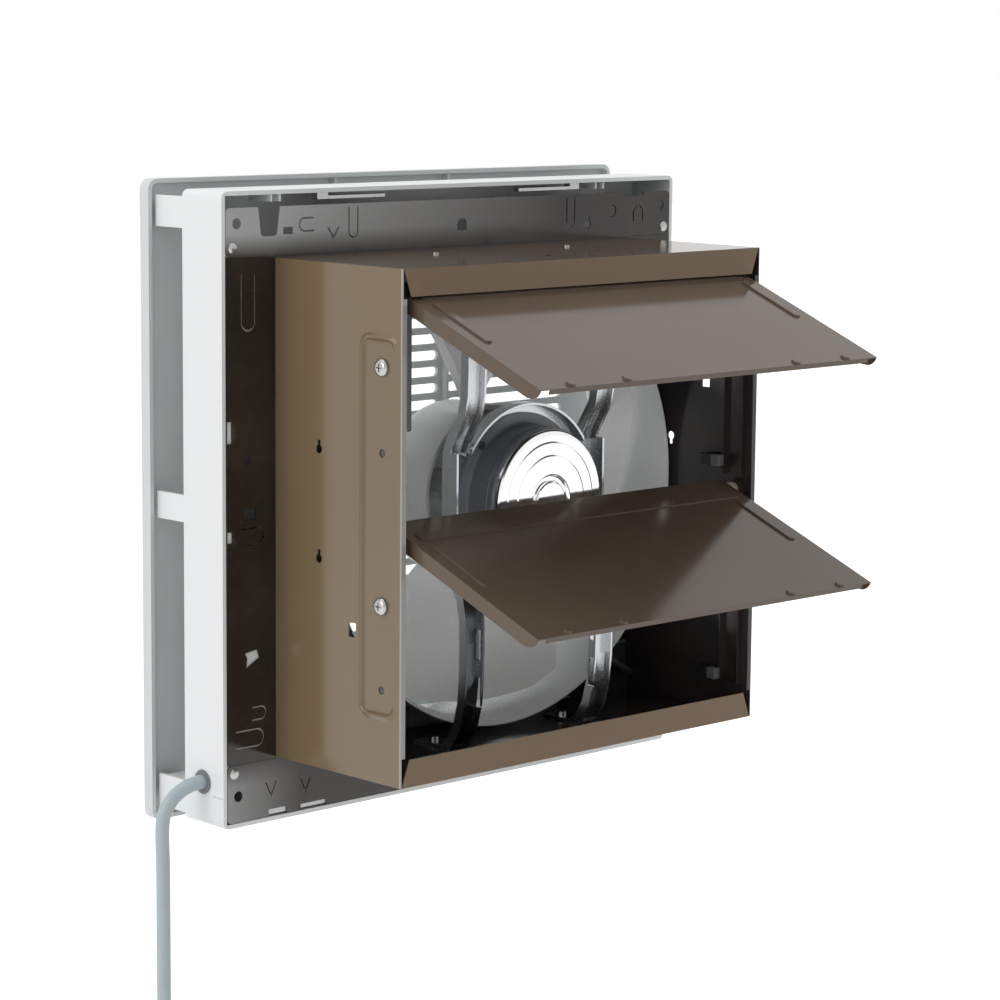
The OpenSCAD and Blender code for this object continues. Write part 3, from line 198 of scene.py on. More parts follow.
def compare(tree, source, socket, kind, limit):
    node = put(tree, "ShaderNodeMath", {1: limit}, operation=kind)
    join(tree, source, socket, node, 0)
    return node


def sizeOf(tree, parts, axis):
    node = put(tree, "ShaderNodeMath", operation="ABSOLUTE")
    join(tree, parts, axis, node, 0)
    return node


def slope(tree, source, socket, low, high):
    node = put(tree, "ShaderNodeMapRange", {"From Min": low, "From Max": high})
    join(tree, source, socket, node, "Value")
    return node


def product(tree, first, firstSocket, second, secondSocket):
    node = put(tree, "ShaderNodeMath", operation="MULTIPLY")
    join(tree, first, firstSocket, node, 0)
    join(tree, second, secondSocket, node, 1)
    return node


def innerShadeMask(tree, parts, spec):
    # Painted shade: the box's inner faces are painted dark
    mask = compare(tree, parts, "Y", "LESS_THAN", spec["rear"])
    for axis in ("X", "Z"):
        within = compare(tree, sizeOf(tree, parts, axis), "Value", "LESS_THAN", spec["half"])
        mask = product(tree, mask, "Value", within, "Value")
    return mask


def paintBox(tree, colour, spec):
    parts = placeParts(tree)
    strip = spec["strip"]
    # Faces behind the rear line take the lip colour; on the near wall this is a painted highlight along the
    # rear hem
    rear = compare(tree, parts, "Y", "GREATER_THAN", strip["rear"])
    colour = mixColours(tree, rear, "Value", colour, fromSrgb(*spec["lipColour"]))
    # Painted shade: the box's roof is painted darker than its sides
    roof = compare(tree, parts, "Z", "GREATER_THAN", strip["roof"])
    colour = mixColours(tree, roof, "Value", colour, fromSrgb(*spec["roofShadeColour"]))
    # Painted shade on the box's inner faces
    inner = innerShadeMask(tree, parts, spec["inner"])
    colour = mixColours(tree, inner, "Value", colour, fromSrgb(*spec["innerShadeColour"]))
    # Painted reflection and shade on the flange's top and bottom strips: a pale painted sheen fading along X
    # into painted shade, and darker close to the box
    below = compare(tree, parts, "Z", "LESS_THAN", 0.0)
    along = put(tree, "ShaderNodeMix", data_type="FLOAT")
    join(tree, below, "Value", along, 0)
    join(tree, slope(tree, parts, "X", strip["dark"], strip["pale"]), "Result", along, 2)
    join(tree, slope(tree, parts, "X", strip["lowDark"], strip["lowPale"]), "Result", along, 3)
    upward = slope(tree, sizeOf(tree, parts, "Z"), "Value", strip["low"], strip["high"])
    shown = product(tree, along, 0, upward, "Result")
    sheenAndShade = mixColours(tree, shown, "Value", fromSrgb(*spec["flangeShadeEndColour"]), fromSrgb(*spec["flangeSheenColour"]))
    # Painted shade: the flange's side strips, in the recess between frame and box, are painted near-black
    high = compare(tree, sizeOf(tree, parts, "Z"), "Value", "GREATER_THAN", strip["edge"])
    flange = mixColours(tree, high, "Value", fromSrgb(*spec["flangeShadeColour"]), sheenAndShade)
    front = compare(tree, parts, "Y", "LESS_THAN", strip["flange"])
    return mixColours(tree, front, "Value", colour, flange)


def paintWebReflection(tree, colour, spec):
    # Painted reflection: the broad face of the lower near leg is painted dark, as the dark box it looks into
    where = put(tree, "ShaderNodeTexCoord")
    turned = put(tree, "ShaderNodeSeparateXYZ")
    join(tree, where, "Normal", turned, "Vector")
    mask = compare(tree, turned, "Y", "GREATER_THAN", spec["facing"])
    parts = placeParts(tree)
    for axis, kind, limit in (("Z", "LESS_THAN", spec["below"]), ("X", "GREATER_THAN", 0.0)):
        mask = product(tree, mask, "Value", compare(tree, parts, axis, kind, limit), "Value")
    return mixColours(tree, mask, "Value", colour, fromSrgb(*spec["colour"]))


def newFinish(name, spec):
    material = bpy.data.materials.new(name)
    material.use_nodes = True
    tree = material.node_tree
    shader = tree.nodes["Principled BSDF"]
    for label, value in spec.get("shader", {}).items():
        shader.inputs[label].default_value = value
    grain = placeGroup(tree, surfaceGrain, spec["grain"])
    colour = mixColours(tree, grain, "Wave", fromSrgb(*spec["colour"]), fromSrgb(*spec["second"]))
    if "strip" in spec:
        colour = paintBox(tree, colour, spec)
    if "web" in spec:
        colour = paintWebReflection(tree, colour, spec["web"])
    if "dust" in spec:
        dust = placeGroup(tree, dustFilm, spec["dust"])
        colour = mixColours(tree, dust, "Mask", colour, fromSrgb(*spec["dustColour"]))
    tree.links.new(colour, shader.inputs["Base Color"])
    tree.links.new(spread(tree, grain, "Grain", *spec["roughness"]), shader.inputs["Roughness"])
    join(tree, grain, "Normal", shader, "Normal")
    return material


# Finishes, with colours as they look in plain light, except the painted shade, sheen, highlight and reflection
# marked below
finishes = {
    "brown_paint": {
        "colour": (114, 97, 72), "second": (108, 92, 68), "roughness": (0.1, 0.16),
        "grain": {"Grain Size": 900.0, "Grain Depth": 0.03, "Wave Size": 9.0, "Wave Depth": 0.05},
        "dust": {"Patch Size": 14.0, "Amount": 0.08}, "dustColour": (128, 116, 98),
        # The inner colour is painted shade inside the box
        "inner": {"half": 0.1381, "rear": 0.1042}, "innerShadeColour": (56, 53, 54),
        "strip": {"flange": 0.0009, "edge": 0.1397, "dark": -0.08, "pale": 0.125, "lowDark": 0.12,
                  "lowPale": 0.195, "low": 0.139, "high": 0.152, "roof": 0.1383, "rear": 0.104},
        # The flange's colours are painted shade, with a painted sheen on its top and bottom strips
        "flangeShadeColour": (36, 29, 27), "flangeShadeEndColour": (42, 36, 34), "flangeSheenColour": (160, 161, 161),
        # The roof colour is painted shade
        "roofShadeColour": (75, 60, 45), "lipColour": (107, 83, 52),
        "shader": {"Specular IOR Level": 0.45},
    },
    "shutter_paint": {
        "colour": (93, 79, 67), "second": (89, 76, 64), "roughness": (0.1, 0.17),
        "grain": {"Grain Size": 900.0, "Grain Depth": 0.03, "Wave Size": 9.0, "Wave Depth": 0.05},
        "dust": {"Patch Size": 14.0, "Amount": 0.08}, "dustColour": (128, 116, 98),
        "shader": {"Specular IOR Level": 0.26},
    },
    # Painted shade: the dark paint of the rails inside the box
    "dark_paint": {
        "colour": (50, 42, 39), "second": (46, 39, 37), "roughness": (0.14, 0.22),
        "grain": {"Grain Size": 900.0, "Grain Depth": 0.03, "Wave Size": 9.0, "Wave Depth": 0.04},
        "shader": {"Specular IOR Level": 0.6},
    },
    "white_plastic": {
        "colour": (219, 222, 222), "second": (215, 219, 219), "roughness": (0.36, 0.46),
        "grain": {"Grain Size": 1400.0, "Grain Depth": 0.06, "Wave Size": 7.0, "Wave Depth": 0.03},
        "dust": {"Patch Size": 20.0, "Amount": 0.1}, "dustColour": (216, 219, 217),
        "shader": {"Subsurface Weight": 0.08, "Subsurface Radius": (0.004, 0.004, 0.004)},
    },
    # Painted shade: the front panel's plastic is a darker copy of the white plastic
    "panel_plastic": {
        "colour": (200, 203, 203), "second": (196, 199, 199), "roughness": (0.36, 0.46),
        "grain": {"Grain Size": 1400.0, "Grain Depth": 0.06, "Wave Size": 7.0, "Wave Depth": 0.03},
        "dust": {"Patch Size": 20.0, "Amount": 0.1}, "dustColour": (200, 203, 201),
        "shader": {"Subsurface Weight": 0.08, "Subsurface Radius": (0.004, 0.004, 0.004)},
    },
    "pale_plastic": {
        "colour": (249, 250, 249), "second": (246, 248, 247), "roughness": (0.24, 0.32),
        "grain": {"Grain Size": 1200.0, "Grain Depth": 0.05, "Wave Size": 10.0, "Wave Depth": 0.04},
        "shader": {"Subsurface Weight": 0.5, "Subsurface Radius": (0.01, 0.01, 0.01)},
    },
    "galvanised": {
        "colour": (200, 202, 204), "second": (192, 194, 196), "roughness": (0.22, 0.28),
        "grain": {"Grain Size": 700.0, "Grain Depth": 0.02, "Wave Size": 14.0, "Wave Depth": 0.008},
        "shader": {"Metallic": 1.0},
    },
    "zinc": {
        "colour": (176, 177, 175), "second": (166, 167, 166), "roughness": (0.2, 0.3),
        "grain": {"Grain Size": 700.0, "Grain Depth": 0.03, "Wave Size": 40.0, "Wave Depth": 0.05},
        "shader": {"Metallic": 1.0},
    },
    "motor_paint": {
        "colour": (122, 127, 133), "second": (116, 121, 127), "roughness": (0.25, 0.35),
        "grain": {"Grain Size": 900.0, "Grain Depth": 0.08, "Wave Size": 20.0, "Wave Depth": 0.05},
    },
    "aluminium_cap": {
        "colour": (243, 244, 244), "second": (239, 240, 241), "roughness": (0.12, 0.17),
        "grain": {"Grain Size": 500.0, "Grain Depth": 0.008, "Wave Size": 24.0, "Wave Depth": 0.004},
        "shader": {"Metallic": 1.0},
    },
    "copper_wire": {
        "colour": (150, 86, 52), "second": (128, 70, 42), "roughness": (0.25, 0.4),
        "grain": {"Grain Size": 1500.0, "Grain Depth": 0.4, "Wave Size": 60.0, "Wave Depth": 0.1},
        "shader": {"Metallic": 0.8},
    },
    "black_rubber": {
        "colour": (30, 30, 31), "second": (26, 26, 27), "roughness": (0.55, 0.7),
        "grain": {"Grain Size": 1300.0, "Grain Depth": 0.15, "Wave Size": 30.0, "Wave Depth": 0.05},
    },
    "grey_rubber": {
        "colour": (112, 114, 115), "second": (102, 104, 105), "roughness": (0.5, 0.65),
        "grain": {"Grain Size": 1300.0, "Grain Depth": 0.12, "Wave Size": 30.0, "Wave Depth": 0.05},
    },
    "black_plastic": {
        "colour": (34, 34, 35), "second": (30, 30, 31), "roughness": (0.35, 0.5),
        "grain": {"Grain Size": 1200.0, "Grain Depth": 0.08, "Wave Size": 20.0, "Wave Depth": 0.04},
    },
    "grey_plastic": {
        "colour": (96, 98, 99), "second": (90, 92, 93), "roughness": (0.35, 0.5),
        "grain": {"Grain Size": 1200.0, "Grain Depth": 0.08, "Wave Size": 20.0, "Wave Depth": 0.04},
    },
    "ivory_plastic": {
        "colour": (214, 208, 190), "second": (208, 201, 182), "roughness": (0.35, 0.5),
        "grain": {"Grain Size": 1200.0, "Grain Depth": 0.06, "Wave Size": 20.0, "Wave Depth": 0.04},
    },
    "white_steel": {
        "colour": (222, 224, 224), "second": (217, 219, 219), "roughness": (0.2, 0.3),
        "grain": {"Grain Size": 500.0, "Grain Depth": 0.04, "Wave Size": 12.0, "Wave Depth": 0.04},
    },
    "cord_grey": {
        "colour": (166, 179, 184), "second": (160, 173, 178), "roughness": (0.4, 0.52),
        "grain": {"Grain Size": 1600.0, "Grain Depth": 0.1, "Wave Size": 40.0, "Wave Depth": 0.08},
        "dust": {"Patch Size": 60.0, "Amount": 0.15}, "dustColour": (148, 152, 154),
    },
    "brass_pins": {
        "colour": (206, 178, 108), "second": (192, 162, 96), "roughness": (0.18, 0.3),
        "grain": {"Grain Size": 700.0, "Grain Depth": 0.06, "Wave Size": 40.0, "Wave Depth": 0.05},
        "shader": {"Metallic": 1.0},
    },
}
finishes["wall_paint"] = dict(finishes["brown_paint"], inner={"half": 0.1381, "rear": 0.1047})
# The stay's lower web carries a painted dark reflection
finishes["stay_steel"] = dict(
    finishes["galvanised"], web={"facing": 0.5, "below": -0.03, "colour": (74, 76, 79)})
# The near wall's rear hem is painted pale: a painted highlight along its rear edge
finishes["near_wall_paint"] = dict(
    finishes["brown_paint"], strip=dict(finishes["brown_paint"]["strip"], rear=0.1034),
    lipColour=(150, 148, 145))
finishOf = {name: newFinish(name, spec) for name, spec in finishes.items()}
finishOfNode = dict(slotOf)
finishOfNode.update({
    # The rails inside the box take the dark paint, which is painted shade
    "upper_shutter": "shutter_paint", "lower_shutter": "shutter_paint", "shutter_rail_left": "dark_paint",
    "shutter_rail_right": "dark_paint", "cord_grommet": "grey_rubber",
    # The front panel's darker plastic is painted shade
    "front_panel": "panel_plastic", "side_panel_left": "near_wall_paint", "side_panel_right": "wall_paint",
    "orifice": "white_steel", "motor_stay": "stay_steel",
})
print("finishes made:", len(finishOf))


def dress(piece, finish, body):
    piece.data.materials.clear()
    piece.data.materials.append(finishOf[finish])
    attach(piece, body)
    return piece


def standFor(piece, *nodes):
    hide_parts(*nodes)
    return dress(piece, slotOf[nodes[0]], bodyOf[nodes[0]])


def meshPiece(name, mesh):
    piece = bpy.data.objects.new(name, mesh)
    scene.collection.objects.link(piece)
    return piece


# Cord: its route as it hangs, then three loops and a straight tail to the plug
cordRun = {
    "diameter": 0.008,
    "route": [
        (175.8, -18, -150.5), (179, -18, -150.5), (184, -18.6, -151.5), (189, -19.6, -153.6),
        (193.5, -20.6, -157), (197, -21.5, -161.6), (199.3, -22.2, -167.2), (200, -22.5, -174),
        (200, -22.5, -183), (200, -22, -198), (200, -22, -218), (200, -22, -238), (200, -22, -258),
        (200, -22, -278), (200, -22, -298), (200, -22, -318), (200, -22, -338), (200, -22, -358),
    ],
    "coilRadius": 42.0, "turns": 3, "pitch": 8.6, "steps": 24, "tail": 64.0, "tailSteps": 4, "smooth": 3,
}


def cordPoints(spec):
    points = [Vector(p) for p in spec["route"]]
    top = points[-1] - Vector((0, 0, spec["diameter"] / mm))
    for i in range(spec["turns"] * spec["steps"] + 1):
        a = 2 * math.pi * i / spec["steps"]
        points.append(top + Vector((
            spec["coilRadius"] * (math.cos(a) - 1), -spec["pitch"] * i / spec["steps"],
            -spec["coilRadius"] * math.sin(a))))
    for k in range(1, spec["tailSteps"] + 1):
        points.append(top + Vector((
            0, -spec["pitch"] * spec["turns"], -spec["tail"] * k / spec["tailSteps"])))
    return [p * mm for p in points]


def smoothRoute(points, steps):
    made = []
    for i in range(len(points) - 1):
        before, a, b, after = (points[max(0, min(len(points) - 1, i + k))] for k in (-1, 0, 1, 2))
        for k in range(steps):
            t = k / steps
            made.append(0.5 * (2 * a + (b - before) * t + (2 * before - 5 * a + 4 * b - after) * t ** 2
                               + (3 * a - before - 3 * b + after) * t ** 3))
    return made + [points[-1]]


def routeLength(points):
    return sum((b - a).length for a, b in zip(points, points[1:]))


def curvePiece(name, points, radius, sides=5):
    curve = bpy.data.curves.new(name, "CURVE")
    curve.dimensions = "3D"
    curve.bevel_depth, curve.bevel_resolution, curve.use_fill_caps = radius, sides, True
    line = curve.splines.new("POLY")
    line.points.add(len(points) - 1)
    for entry, p in zip(line.points, points):
        entry.co = (*p, 1)
    line.use_smooth = True
    piece = bpy.data.objects.new(name, curve)
    scene.collection.objects.link(piece)
    return piece


cordLine = smoothRoute(cordPoints(cordRun), cordRun["smooth"])
cordPiece = standFor(curvePiece("powerCord", cordLine, cordRun["diameter"] / 2), "cord", "cord_coil")
print("cord made:", round(routeLength(cordLine), 3), "m")


# Leads inside the box and frame, each a smooth run along its route: node, width, points
leadSmooth = 4
leads = {
    "motorLead": ("motor_lead", 4.4, [
        (-32, 45, -20), (-36, 43, -28), (-42, 42.5, -38), (-50, 42.5, -55), (-60, 42.5, -75),
        (-70, 43, -92), (-82, 43, -105), (-95, 42, -113), (-104, 38, -117), (-108, 32, -118),
        (-108, 25, -118), (-108, 19, -118), (-108, 17, -118)]),
    "innerCord": ("inner_cord", 8, [
        (170, -18, -150.5), (160, -18, -150.5), (150, -18, -150.8), (130, -18, -152), (90, -18, -153),
        (50, -18, -153), (10, -18, -153), (-30, -18, -153), (-60, -18, -153), (-82, -18, -152),
        (-96, -19, -148), (-104, -20, -142), (-107, -20.5, -134), (-108, -20.5, -128),
        (-108, -18.5, -123), (-108, -14, -120), (-108, -10, -120)]),
    "actuatorLead": ("actuator_lead", 3.2, [
        (120, 50, 48), (120, 50, 42), (123, 49, 34), (129, 47, 24), (134, 45, 8), (135, 44, -15),
        (135, 44, -45), (135, 44, -75), (134, 44, -95), (131, 42, -108), (127, 35, -118),
        (124, 25, -123), (122, 12, -127), (121, 2, -131), (118, -6, -136), (112, -10, -140),
        (100, -11, -143), (70, -11, -144), (30, -11, -144), (-10, -11, -144), (-50, -11, -144),
        (-80, -12, -143), (-94, -14, -139), (-99, -16, -132), (-100, -16, -126), (-100, -14, -123),
        (-100, -12, -122), (-100, -10, -122)]),
}
for name, (node, width, route) in leads.items():
    line = smoothRoute([Vector(p) * mm for p in route], leadSmooth)
    standFor(curvePiece(name, line, width / 2 * mm), node)


# Turned pieces, from (radius, height) points in millimetres
def turnOn(shape, profile, steps, place, closed=False):
    rings = []
    for radius, height in profile:
        count = steps if radius else 1
        rings.append([shape.verts.new(place @ (Vector((
            radius * math.cos(2 * math.pi * i / steps), radius * math.sin(2 * math.pi * i / steps),
            height)) * mm)) for i in range(count)])
    for low, high in zip(rings, rings[1:] + rings[:1] if closed else rings[1:]):
        for i in range(steps):
            j = (i + 1) % steps
            corners = [low[i % len(low)], low[j % len(low)], high[j % len(high)], high[i % len(high)]]
            corners = list(dict.fromkeys(corners))
            if len(corners) > 2:
                shape.faces.new(corners)
    return rings


def shapePiece(name, shape, sharp=30.0):
    bmesh.ops.recalc_face_normals(shape, faces=shape.faces)
    mesh = bpy.data.meshes.new(name)
    shape.to_mesh(mesh)
    shape.free()
    for face in mesh.polygons:
        face.use_smooth = True
    mesh.set_sharp_from_angle(angle=math.radians(sharp))
    return meshPiece(name, mesh)


def facing(axis, place):
    turn = {"+y": Matrix.Rotation(-math.pi / 2, 4, "X"), "+x": Matrix.Rotation(math.pi / 2, 4, "Y"),
            "-x": Matrix.Rotation(-math.pi / 2, 4, "Y")}[axis]
    return Matrix.Translation(Vector(place) * mm) @ turn


motorCap = {"steps": 96, "sharp": 12.0, "profile": [
    (0, 71.4), (38.8, 71.4), (38.8, 70.8), (40.4, 70.8), (40.4, 73.3), (40.1, 74.1), (39.4, 74.7),
    (38.4, 74.9), (33.7, 74.9), (33.2, 75.05), (32.7, 75.3), (26.3, 75.3), (25.8, 75.45), (25.3, 75.7),
    (15.4, 75.7), (14.9, 75.5), (14.4, 74.6), (13.8, 73.9), (12.2, 73.9), (11.6, 74.5), (11.1, 75.5),
    (10.5, 75.9), (9.6, 76), (0, 76)]}
motorShell = {"steps": 96, "sharp": 24.0, "profile": [
    (48, 49.6), (48, 51), (43.4, 51), (42.3, 51.4), (41.7, 52.2), (41.5, 53.4), (41.5, 66.2),
    (41.1, 66.5), (41, 67), (41.1, 67.5), (41.5, 67.8), (41.5, 70.2), (41.2, 70.7), (40.1, 70.7),
    (40.1, 51), (39.9, 49.6)]}


def makeTurned(name, node, spec, closed):
    shape = bmesh.new()
    turnOn(shape, spec["profile"], spec["steps"], facing("+y", (0, 0, 0)), closed)
    return standFor(shapePiece(name, shape, spec["sharp"]), node)


makeTurned("motorCap", "motor_rear_cap", motorCap, False)
makeTurned("motorShell", "motor_shell", motorShell, True)
print("motor turned")

# Rail screws with a cross in a pan head, and domed rivets
railScrew = {
    "steps": 48, "seat": 138.1, "inner": 131.9, "shank": 1.8, "places": [(88.6, 85.6), (88.6, -41.9)],
    "head": [(4.9, 0), (4.9, 0.9), (4.75, 1.5), (4.35, 2.05), (3.7, 2.45), (2.9, 2.7)],
    "arm": 2.1, "half": 0.42, "foot": 1.4, "footShare": 0.8,
}
rivet = {"steps": 32, "x": 167.4, "z": 144.4, "shank": 1.6, "length": 8,
         "dome": [(3, 0), (3, 0.25), (2.75, 0.6), (2.2, 0.9), (1.4, 1.1), (0.6, 1.18), (0, 1.2)]}


def shank(radius, length):
    return [(0, -length), (radius, -length), (radius, 0)]


def crossOn(shape, rim, spec, place):
    a, h = spec["arm"], spec["half"]
    outline = [(a, h), (h, h), (h, a), (-h, a), (-h, h), (-a, h)]
    outline += [(-u, -v) for u, v in outline]
    level = spec["head"][-1][1]
    top, foot = (
        [shape.verts.new(place @ (Vector((u * k, v * k, z)) * mm)) for u, v in outline]
        for z, k in ((level, 1), (spec["foot"], spec["footShare"])))
    edges = [shape.edges.get((p, q)) for p, q in zip(rim, rim[1:] + rim[:1])]
    for i in range(len(top)):
        j = (i + 1) % len(top)
        shape.faces.new((top[i], top[j], foot[j], foot[i]))
        edges.append(shape.edges.get((top[i], top[j])))
    shape.faces.new(foot)
    bmesh.ops.triangle_fill(shape, use_beauty=True, edges=edges)


def makeRailScrews(spec):
    shape = bmesh.new()
    length = spec["seat"] - spec["inner"]
    for side, axis in ((1, "+x"), (-1, "-x")):
        for y, z in spec["places"]:
            place = facing(axis, (side * spec["seat"], y, z))
            profile = shank(spec["shank"], length) + spec["head"]
            crossOn(shape, turnOn(shape, profile, spec["steps"], place)[-1], spec, place)
    return standFor(shapePiece("railScrews", shape), "rail_screws")


def makeRivets(spec):
    shape = bmesh.new()
    for x in (-spec["x"], spec["x"]):
        for z in (-spec["z"], spec["z"]):
            profile = shank(spec["shank"], spec["length"]) + spec["dome"]
            turnOn(shape, profile, spec["steps"], facing("+y", (x, 0, z)))
    return standFor(shapePiece("frameRivets", shape), "frame_rivets")


makeRailScrews(railScrew)
makeRivets(rivet)
print("screws and rivets made")

# The pressed edge round the shallow field on each side wall
pressedEdge = {
    "wall": 138.5, "depth": 0.4, "y0": 73.0, "y1": 99.1, "z": 101.5, "corner": 6.0, "half": 2.7,
    "crest": 1.6, "sunk": 0.1, "back": 0.7, "fade": 9.0, "across": 12, "bends": 10, "shorts": 6,
    "longs": 30,
}


def fieldOutline(spec):
    y0, y1, z, r = spec["y0"], spec["y1"], spec["z"], spec["corner"]
    points = []

    def straight(a, b, count):
        for i in range(count):
            points.append((a[0] + (b[0] - a[0]) * i / count, a[1] + (b[1] - a[1]) * i / count))

    def bend(cy, cz, start, turn):
        for i in range(spec["bends"]):
            angle = math.radians(start + turn * i / spec["bends"])
            points.append((cy + r * math.cos(angle), cz + r * math.sin(angle)))

    bend(y1 - r, z - r, 0, 90)
    straight((y1 - r, z), (y0 + r, z), spec["shorts"])
    bend(y0 + r, z - r, 90, 90)
    straight((y0, z - r), (y0, r - z), spec["longs"])
    bend(y0 + r, r - z, 180, 90)
    straight((y0 + r, -z), (y1 - r, -z), spec["shorts"])
    bend(y1 - r, r - z, 270, 90)
    return points + [(y1, r - z)]


def makePressedEdge(name, side, spec, body):
    points = fieldOutline(spec)
    shape = bmesh.new()
    rows = []
    run = [0]
    for a, b in zip(points, points[1:]):
        run.append(run[-1] + math.dist(a, b))
    for i, (y, z) in enumerate(points):
        before, after = points[max(0, i - 1)], points[min(len(points) - 1, i + 1)]
        along = Vector((after[0] - before[0], after[1] - before[1])).normalized()
        out = Vector((along.y, -along.x))
        grow = min(1, run[i] / spec["fade"], (run[-1] - run[i]) / spec["fade"])
        row = []
        for k in range(spec["across"] + 1):
            t = 1 - 2 * k / spec["across"]
            rise = spec["crest"] * grow * math.cos(math.pi * t / 2) ** 2
            base = -spec["sunk"] if t > 0 else -spec["sunk"] - spec["depth"] * math.sin(math.pi * t / 2) ** 2
            row.append((t * spec["half"], spec["wall"] + base + rise))
        row += [(t * spec["half"], spec["wall"] - spec["back"]) for t in (-1, 1)]
        rows.append([
            shape.verts.new(Vector((side * x, y + out.x * t, z + out.y * t)) * mm) for t, x in row])
    for low, high in zip(rows, rows[1:]):
        for i in range(len(low)):
            j = (i + 1) % len(low)
            shape.faces.new((low[i], low[j], high[j], high[i]))
    shape.faces.new(rows[0])
    shape.faces.new(rows[-1])
    return dress(shapePiece(name, shape), "wall_paint", body)


for name, side in (("pressedEdgeLeft", 1), ("pressedEdgeRight", -1)):
    makePressedEdge(name, side, pressedEdge, bodyOf["side_panel_left"])
print("pressed edges made")


# What shows through the flange's cuts: white ribbed walls behind the slits and notches of the sides,
# white ledges behind the notches of the bottom, and a black sheet of painted shade behind the round holes and
# windows
plate = {"front": -1.1, "back": -2.3, "ribs": 3, "rib": 0.8, "depth": 2.6, "inset": 1.0, "edge": 0.3}
backings = {
    "innerRib": dict(plate, finish="white_plastic", zones=[
        (141, 165.5, 84, 133), (167.3, 172.1, -18, 53), (141, 165.5, -133, -40)]),
    "lowRib": dict(plate, finish="white_plastic", zones=[(100, 150, -171.5, -160)]),
    # Painted shade: a black sheet behind the round holes and windows
    "shadeStrip": dict(plate, finish="black_rubber", ribs=0, zones=[(150, 165, -9, 37)]),
}


def makeBacking(name, side, spec, body):
    shape = bmesh.new()

    def slab(x0, x1, y0, y1, z0, z1):
        corners = [
            shape.verts.new(Vector((side * x, y, z)) * mm)
            for x in (x0, x1) for y in (y0, y1) for z in (z0, z1)]
        for ring in ((0, 1, 3, 2), (4, 6, 7, 5), (0, 4, 5, 1), (2, 3, 7, 6), (0, 2, 6, 4), (1, 5, 7, 3)):
            shape.faces.new([corners[i] for i in ring])

    for x0, x1, z0, z1 in spec["zones"]:
        slab(x0, x1, spec["back"], spec["front"], z0, z1)
        for i in range(spec["ribs"]):
            z = z0 + (z1 - z0) * (i + 0.5) / spec["ribs"]
            slab(x0 + spec["inset"], x1 - spec["inset"], spec["back"] - spec["depth"], spec["back"],
                 z - spec["rib"], z + spec["rib"])
    piece = shapePiece(name, shape)
    edges = piece.modifiers.new("edges", "BEVEL")
    edges.width, edges.segments = spec["edge"] * mm, 2
    return dress(piece, spec["finish"], body)


for kind, spec in backings.items():
    for end, side in (("Left", 1), ("Right", -1)):
        makeBacking(kind + end, side, spec, bodyOf["front_frame"])
print("backings made:", len(backings))


# Rounded edges on the hard pieces
edgeWidths = {
    "front_frame": 0.9, "front_panel": 1.0, "catch_springs": 0.3, "orifice": 0.2, "side_panel_left": 0.25,
    "side_panel_right": 0.25, "top_panel": 0.25, "bottom_panel": 0.25, "shutter_rail_left": 0.2,
    "shutter_rail_right": 0.2, "rubber_bushes": 0.4, "cushion_holders": 0.4, "shutter_cushions": 0.8,
    "pivot_bushes": 0.3, "upper_shutter": 0.2, "lower_shutter": 0.2, "upper_crank": 0.2, "lower_crank": 0.2,
    "link_bar": 0.2, "actuator_case": 0.8, "actuator_cover": 0.5, "actuator_bracket": 0.3,
    "actuator_lever": 0.2, "motor_stay": 0.4, "motor_front_cap": 0.5, "impeller": 0.5,
    "spinner_knob": 0.6, "terminal_box": 0.5, "terminal_cover": 0.5, "cord_grommet": 0.6,
    "cord_tie": 0.3, "plug_body": 1.6, "plug_pins": 0.4,
}
shading = {
    "flat": 0.5, "sharp": 33.0, "broad": 0.0002, "broadOf": {"orifice": 0.001}, "grid": 50000,
    "weld": 0.00001, "level": 0.6, "segments": 2,
}


def meetingFaces(mesh):
    spots = [tuple(round(c * shading["grid"]) for c in vertex.co) for vertex in mesh.vertices]
    meeting = {}
    for face in mesh.polygons:
        for a, b in face.edge_keys:
            meeting.setdefault(tuple(sorted((spots[a], spots[b]))), []).append(face.index)
    return [pair for pair in meeting.values() if len(pair) == 2]


def sortShading(mesh, broad):
    # Broad flat faces stay flat, and only what bends gently is smooth
    normals = [face.normal.copy() for face in mesh.polygons]
    group = list(range(len(normals)))

    def first(i):
        while group[i] != i:
            group[i] = group[group[i]]
            i = group[i]
        return i

    bends = []
    for a, b in meetingFaces(mesh):
        turn = math.degrees(normals[a].angle(normals[b], 0))
        if turn < shading["flat"]:
            group[first(a)] = first(b)
        elif turn < shading["sharp"]:
            bends += [a, b]
    area = {}
    for face in mesh.polygons:
        area[first(face.index)] = area.get(first(face.index), 0) + face.area
    smooth = {first(i) for i in bends if area[first(i)] < broad}
    for face in mesh.polygons:
        face.use_smooth = first(face.index) in smooth


def roundEdges(node, width):
    piece = frame["nodes"][node]
    weld = piece.modifiers.new("weld", "WELD")
    weld.merge_threshold = shading["weld"]
    flatten = piece.modifiers.new("flatten", "DECIMATE")
    flatten.decimate_type, flatten.angle_limit = "DISSOLVE", math.radians(shading["level"])
    edges = piece.modifiers.new("edges", "BEVEL")
    edges.width, edges.segments = width * mm, shading["segments"]
    edges.limit_method, edges.angle_limit = "ANGLE", math.radians(shading["sharp"])


for node, piece in frame["nodes"].items():
    piece.data.materials.clear()
    piece.data.materials.append(finishOf[finishOfNode[node]])
    sortShading(piece.data, shading["broadOf"].get(node, shading["broad"]))
for node, width in edgeWidths.items():
    roundEdges(node, width)
print("edges rounded:", len(edgeWidths))


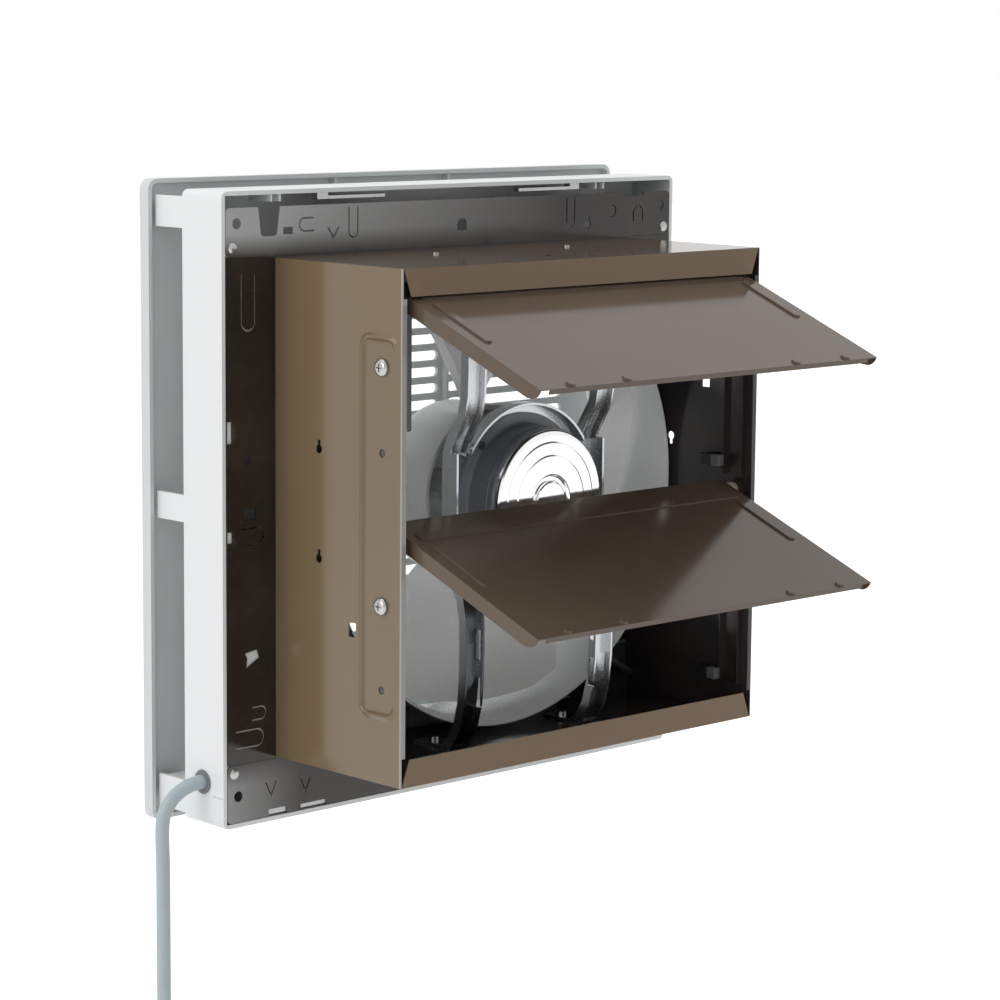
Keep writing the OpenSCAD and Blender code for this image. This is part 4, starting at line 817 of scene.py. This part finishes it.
# Floor, background and lights
setting = {
    "back": 0.9, "front": 0.69, "fall": {"From Min": -0.4, "From Max": 0.7}, "white": 1.0,
    "floorZ": -0.5, "reach": 9, "floor": {"Base Color": (0.9, 0.9, 0.9, 1), "Roughness": 0.9},
    "floorLift": 0.5, "seenBy": ("Is Camera Ray", "Is Glossy Ray", "Is Transmission Ray"),
}
lamps = {
    "topSoftbox": {"place": (0.3, -0.3, 2.3), "target": (0, 0, 0), "size": 1.6, "power": 14},
    "sideSoftbox": {"place": (2.5, -0.4, 0.8), "target": (0, 0, 0), "size": 1.4, "power": 16},
}


def anyRay(tree, names):
    paths = put(tree, "ShaderNodeLightPath")
    seen = None
    for name in names:
        if seen is None:
            seen = (paths, name)
            continue
        either = put(tree, "ShaderNodeMath", operation="MAXIMUM")
        join(tree, seen[0], seen[1], either, 0)
        join(tree, paths, name, either, 1)
        seen = (either, "Value")
    return seen


def makeWorld(spec):
    # Seen white all round, and lighting the part from the room's side and the sides
    world = bpy.data.worlds.new("studio")
    world.use_nodes = True
    scene.world = world
    tree = world.node_tree
    where = put(tree, "ShaderNodeTexCoord")
    parts = put(tree, "ShaderNodeSeparateXYZ")
    join(tree, where, "Generated", parts, "Vector")
    levels = {"To Min": spec["back"], "To Max": spec["front"]}
    fall = put(tree, "ShaderNodeMapRange", dict(spec["fall"], **levels))
    join(tree, parts, "Y", fall, "Value")
    level = put(tree, "ShaderNodeMix", {3: spec["white"]}, data_type="FLOAT")
    seen = anyRay(tree, spec["seenBy"])
    join(tree, seen[0], seen[1], level, 0)
    join(tree, fall, "Result", level, 2)
    back = tree.nodes["Background"]
    back.inputs["Color"].default_value = (1, 1, 1, 1)
    join(tree, level, 0, back, "Strength")


def makeFloor(spec):
    mesh = bpy.data.meshes.new("floor")
    reach = spec["reach"]
    corners = [(-reach, -reach, 0), (reach, -reach, 0), (reach, reach, 0), (-reach, reach, 0)]
    mesh.from_pydata(corners, [], [(0, 1, 2, 3)])
    floor = meshPiece("floor", mesh)
    floor.location.z = spec["floorZ"]
    material = bpy.data.materials.new("paleFloor")
    material.use_nodes = True
    tree = material.node_tree
    shader = tree.nodes["Principled BSDF"]
    for label, value in spec["floor"].items():
        shader.inputs[label].default_value = value
    lift = put(tree, "ShaderNodeEmission", {"Strength": spec["floorLift"]})
    both = put(tree, "ShaderNodeAddShader")
    join(tree, shader, 0, both, 0)
    join(tree, lift, "Emission", both, 1)
    mix = put(tree, "ShaderNodeMixShader")
    seen = anyRay(tree, spec["seenBy"])
    join(tree, seen[0], seen[1], mix, 0)
    join(tree, shader, 0, mix, 1)
    join(tree, both, 0, mix, 2)
    # The floor doesn't hide the part from below
    sides = put(tree, "ShaderNodeNewGeometry")
    clear = put(tree, "ShaderNodeBsdfTransparent")
    whole = put(tree, "ShaderNodeMixShader")
    join(tree, sides, "Backfacing", whole, 0)
    join(tree, mix, 0, whole, 1)
    join(tree, clear, 0, whole, 2)
    join(tree, whole, 0, tree.nodes["Material Output"], 0)
    mesh.materials.append(material)


def addLamp(name, spec):
    place, target = Vector(spec["place"]), Vector(spec["target"])
    lamp = bpy.data.lights.new(name, "AREA")
    lamp.shape, lamp.size, lamp.energy = "SQUARE", spec["size"], spec["power"]
    holder = bpy.data.objects.new(name, lamp)
    scene.collection.objects.link(holder)
    holder.location = place
    holder.rotation_euler = (target - place).to_track_quat("-Z", "Y").to_euler()


makeWorld(setting)
makeFloor(setting)
for name, spec in lamps.items():
    addLamp(name, spec)
print("setting made")
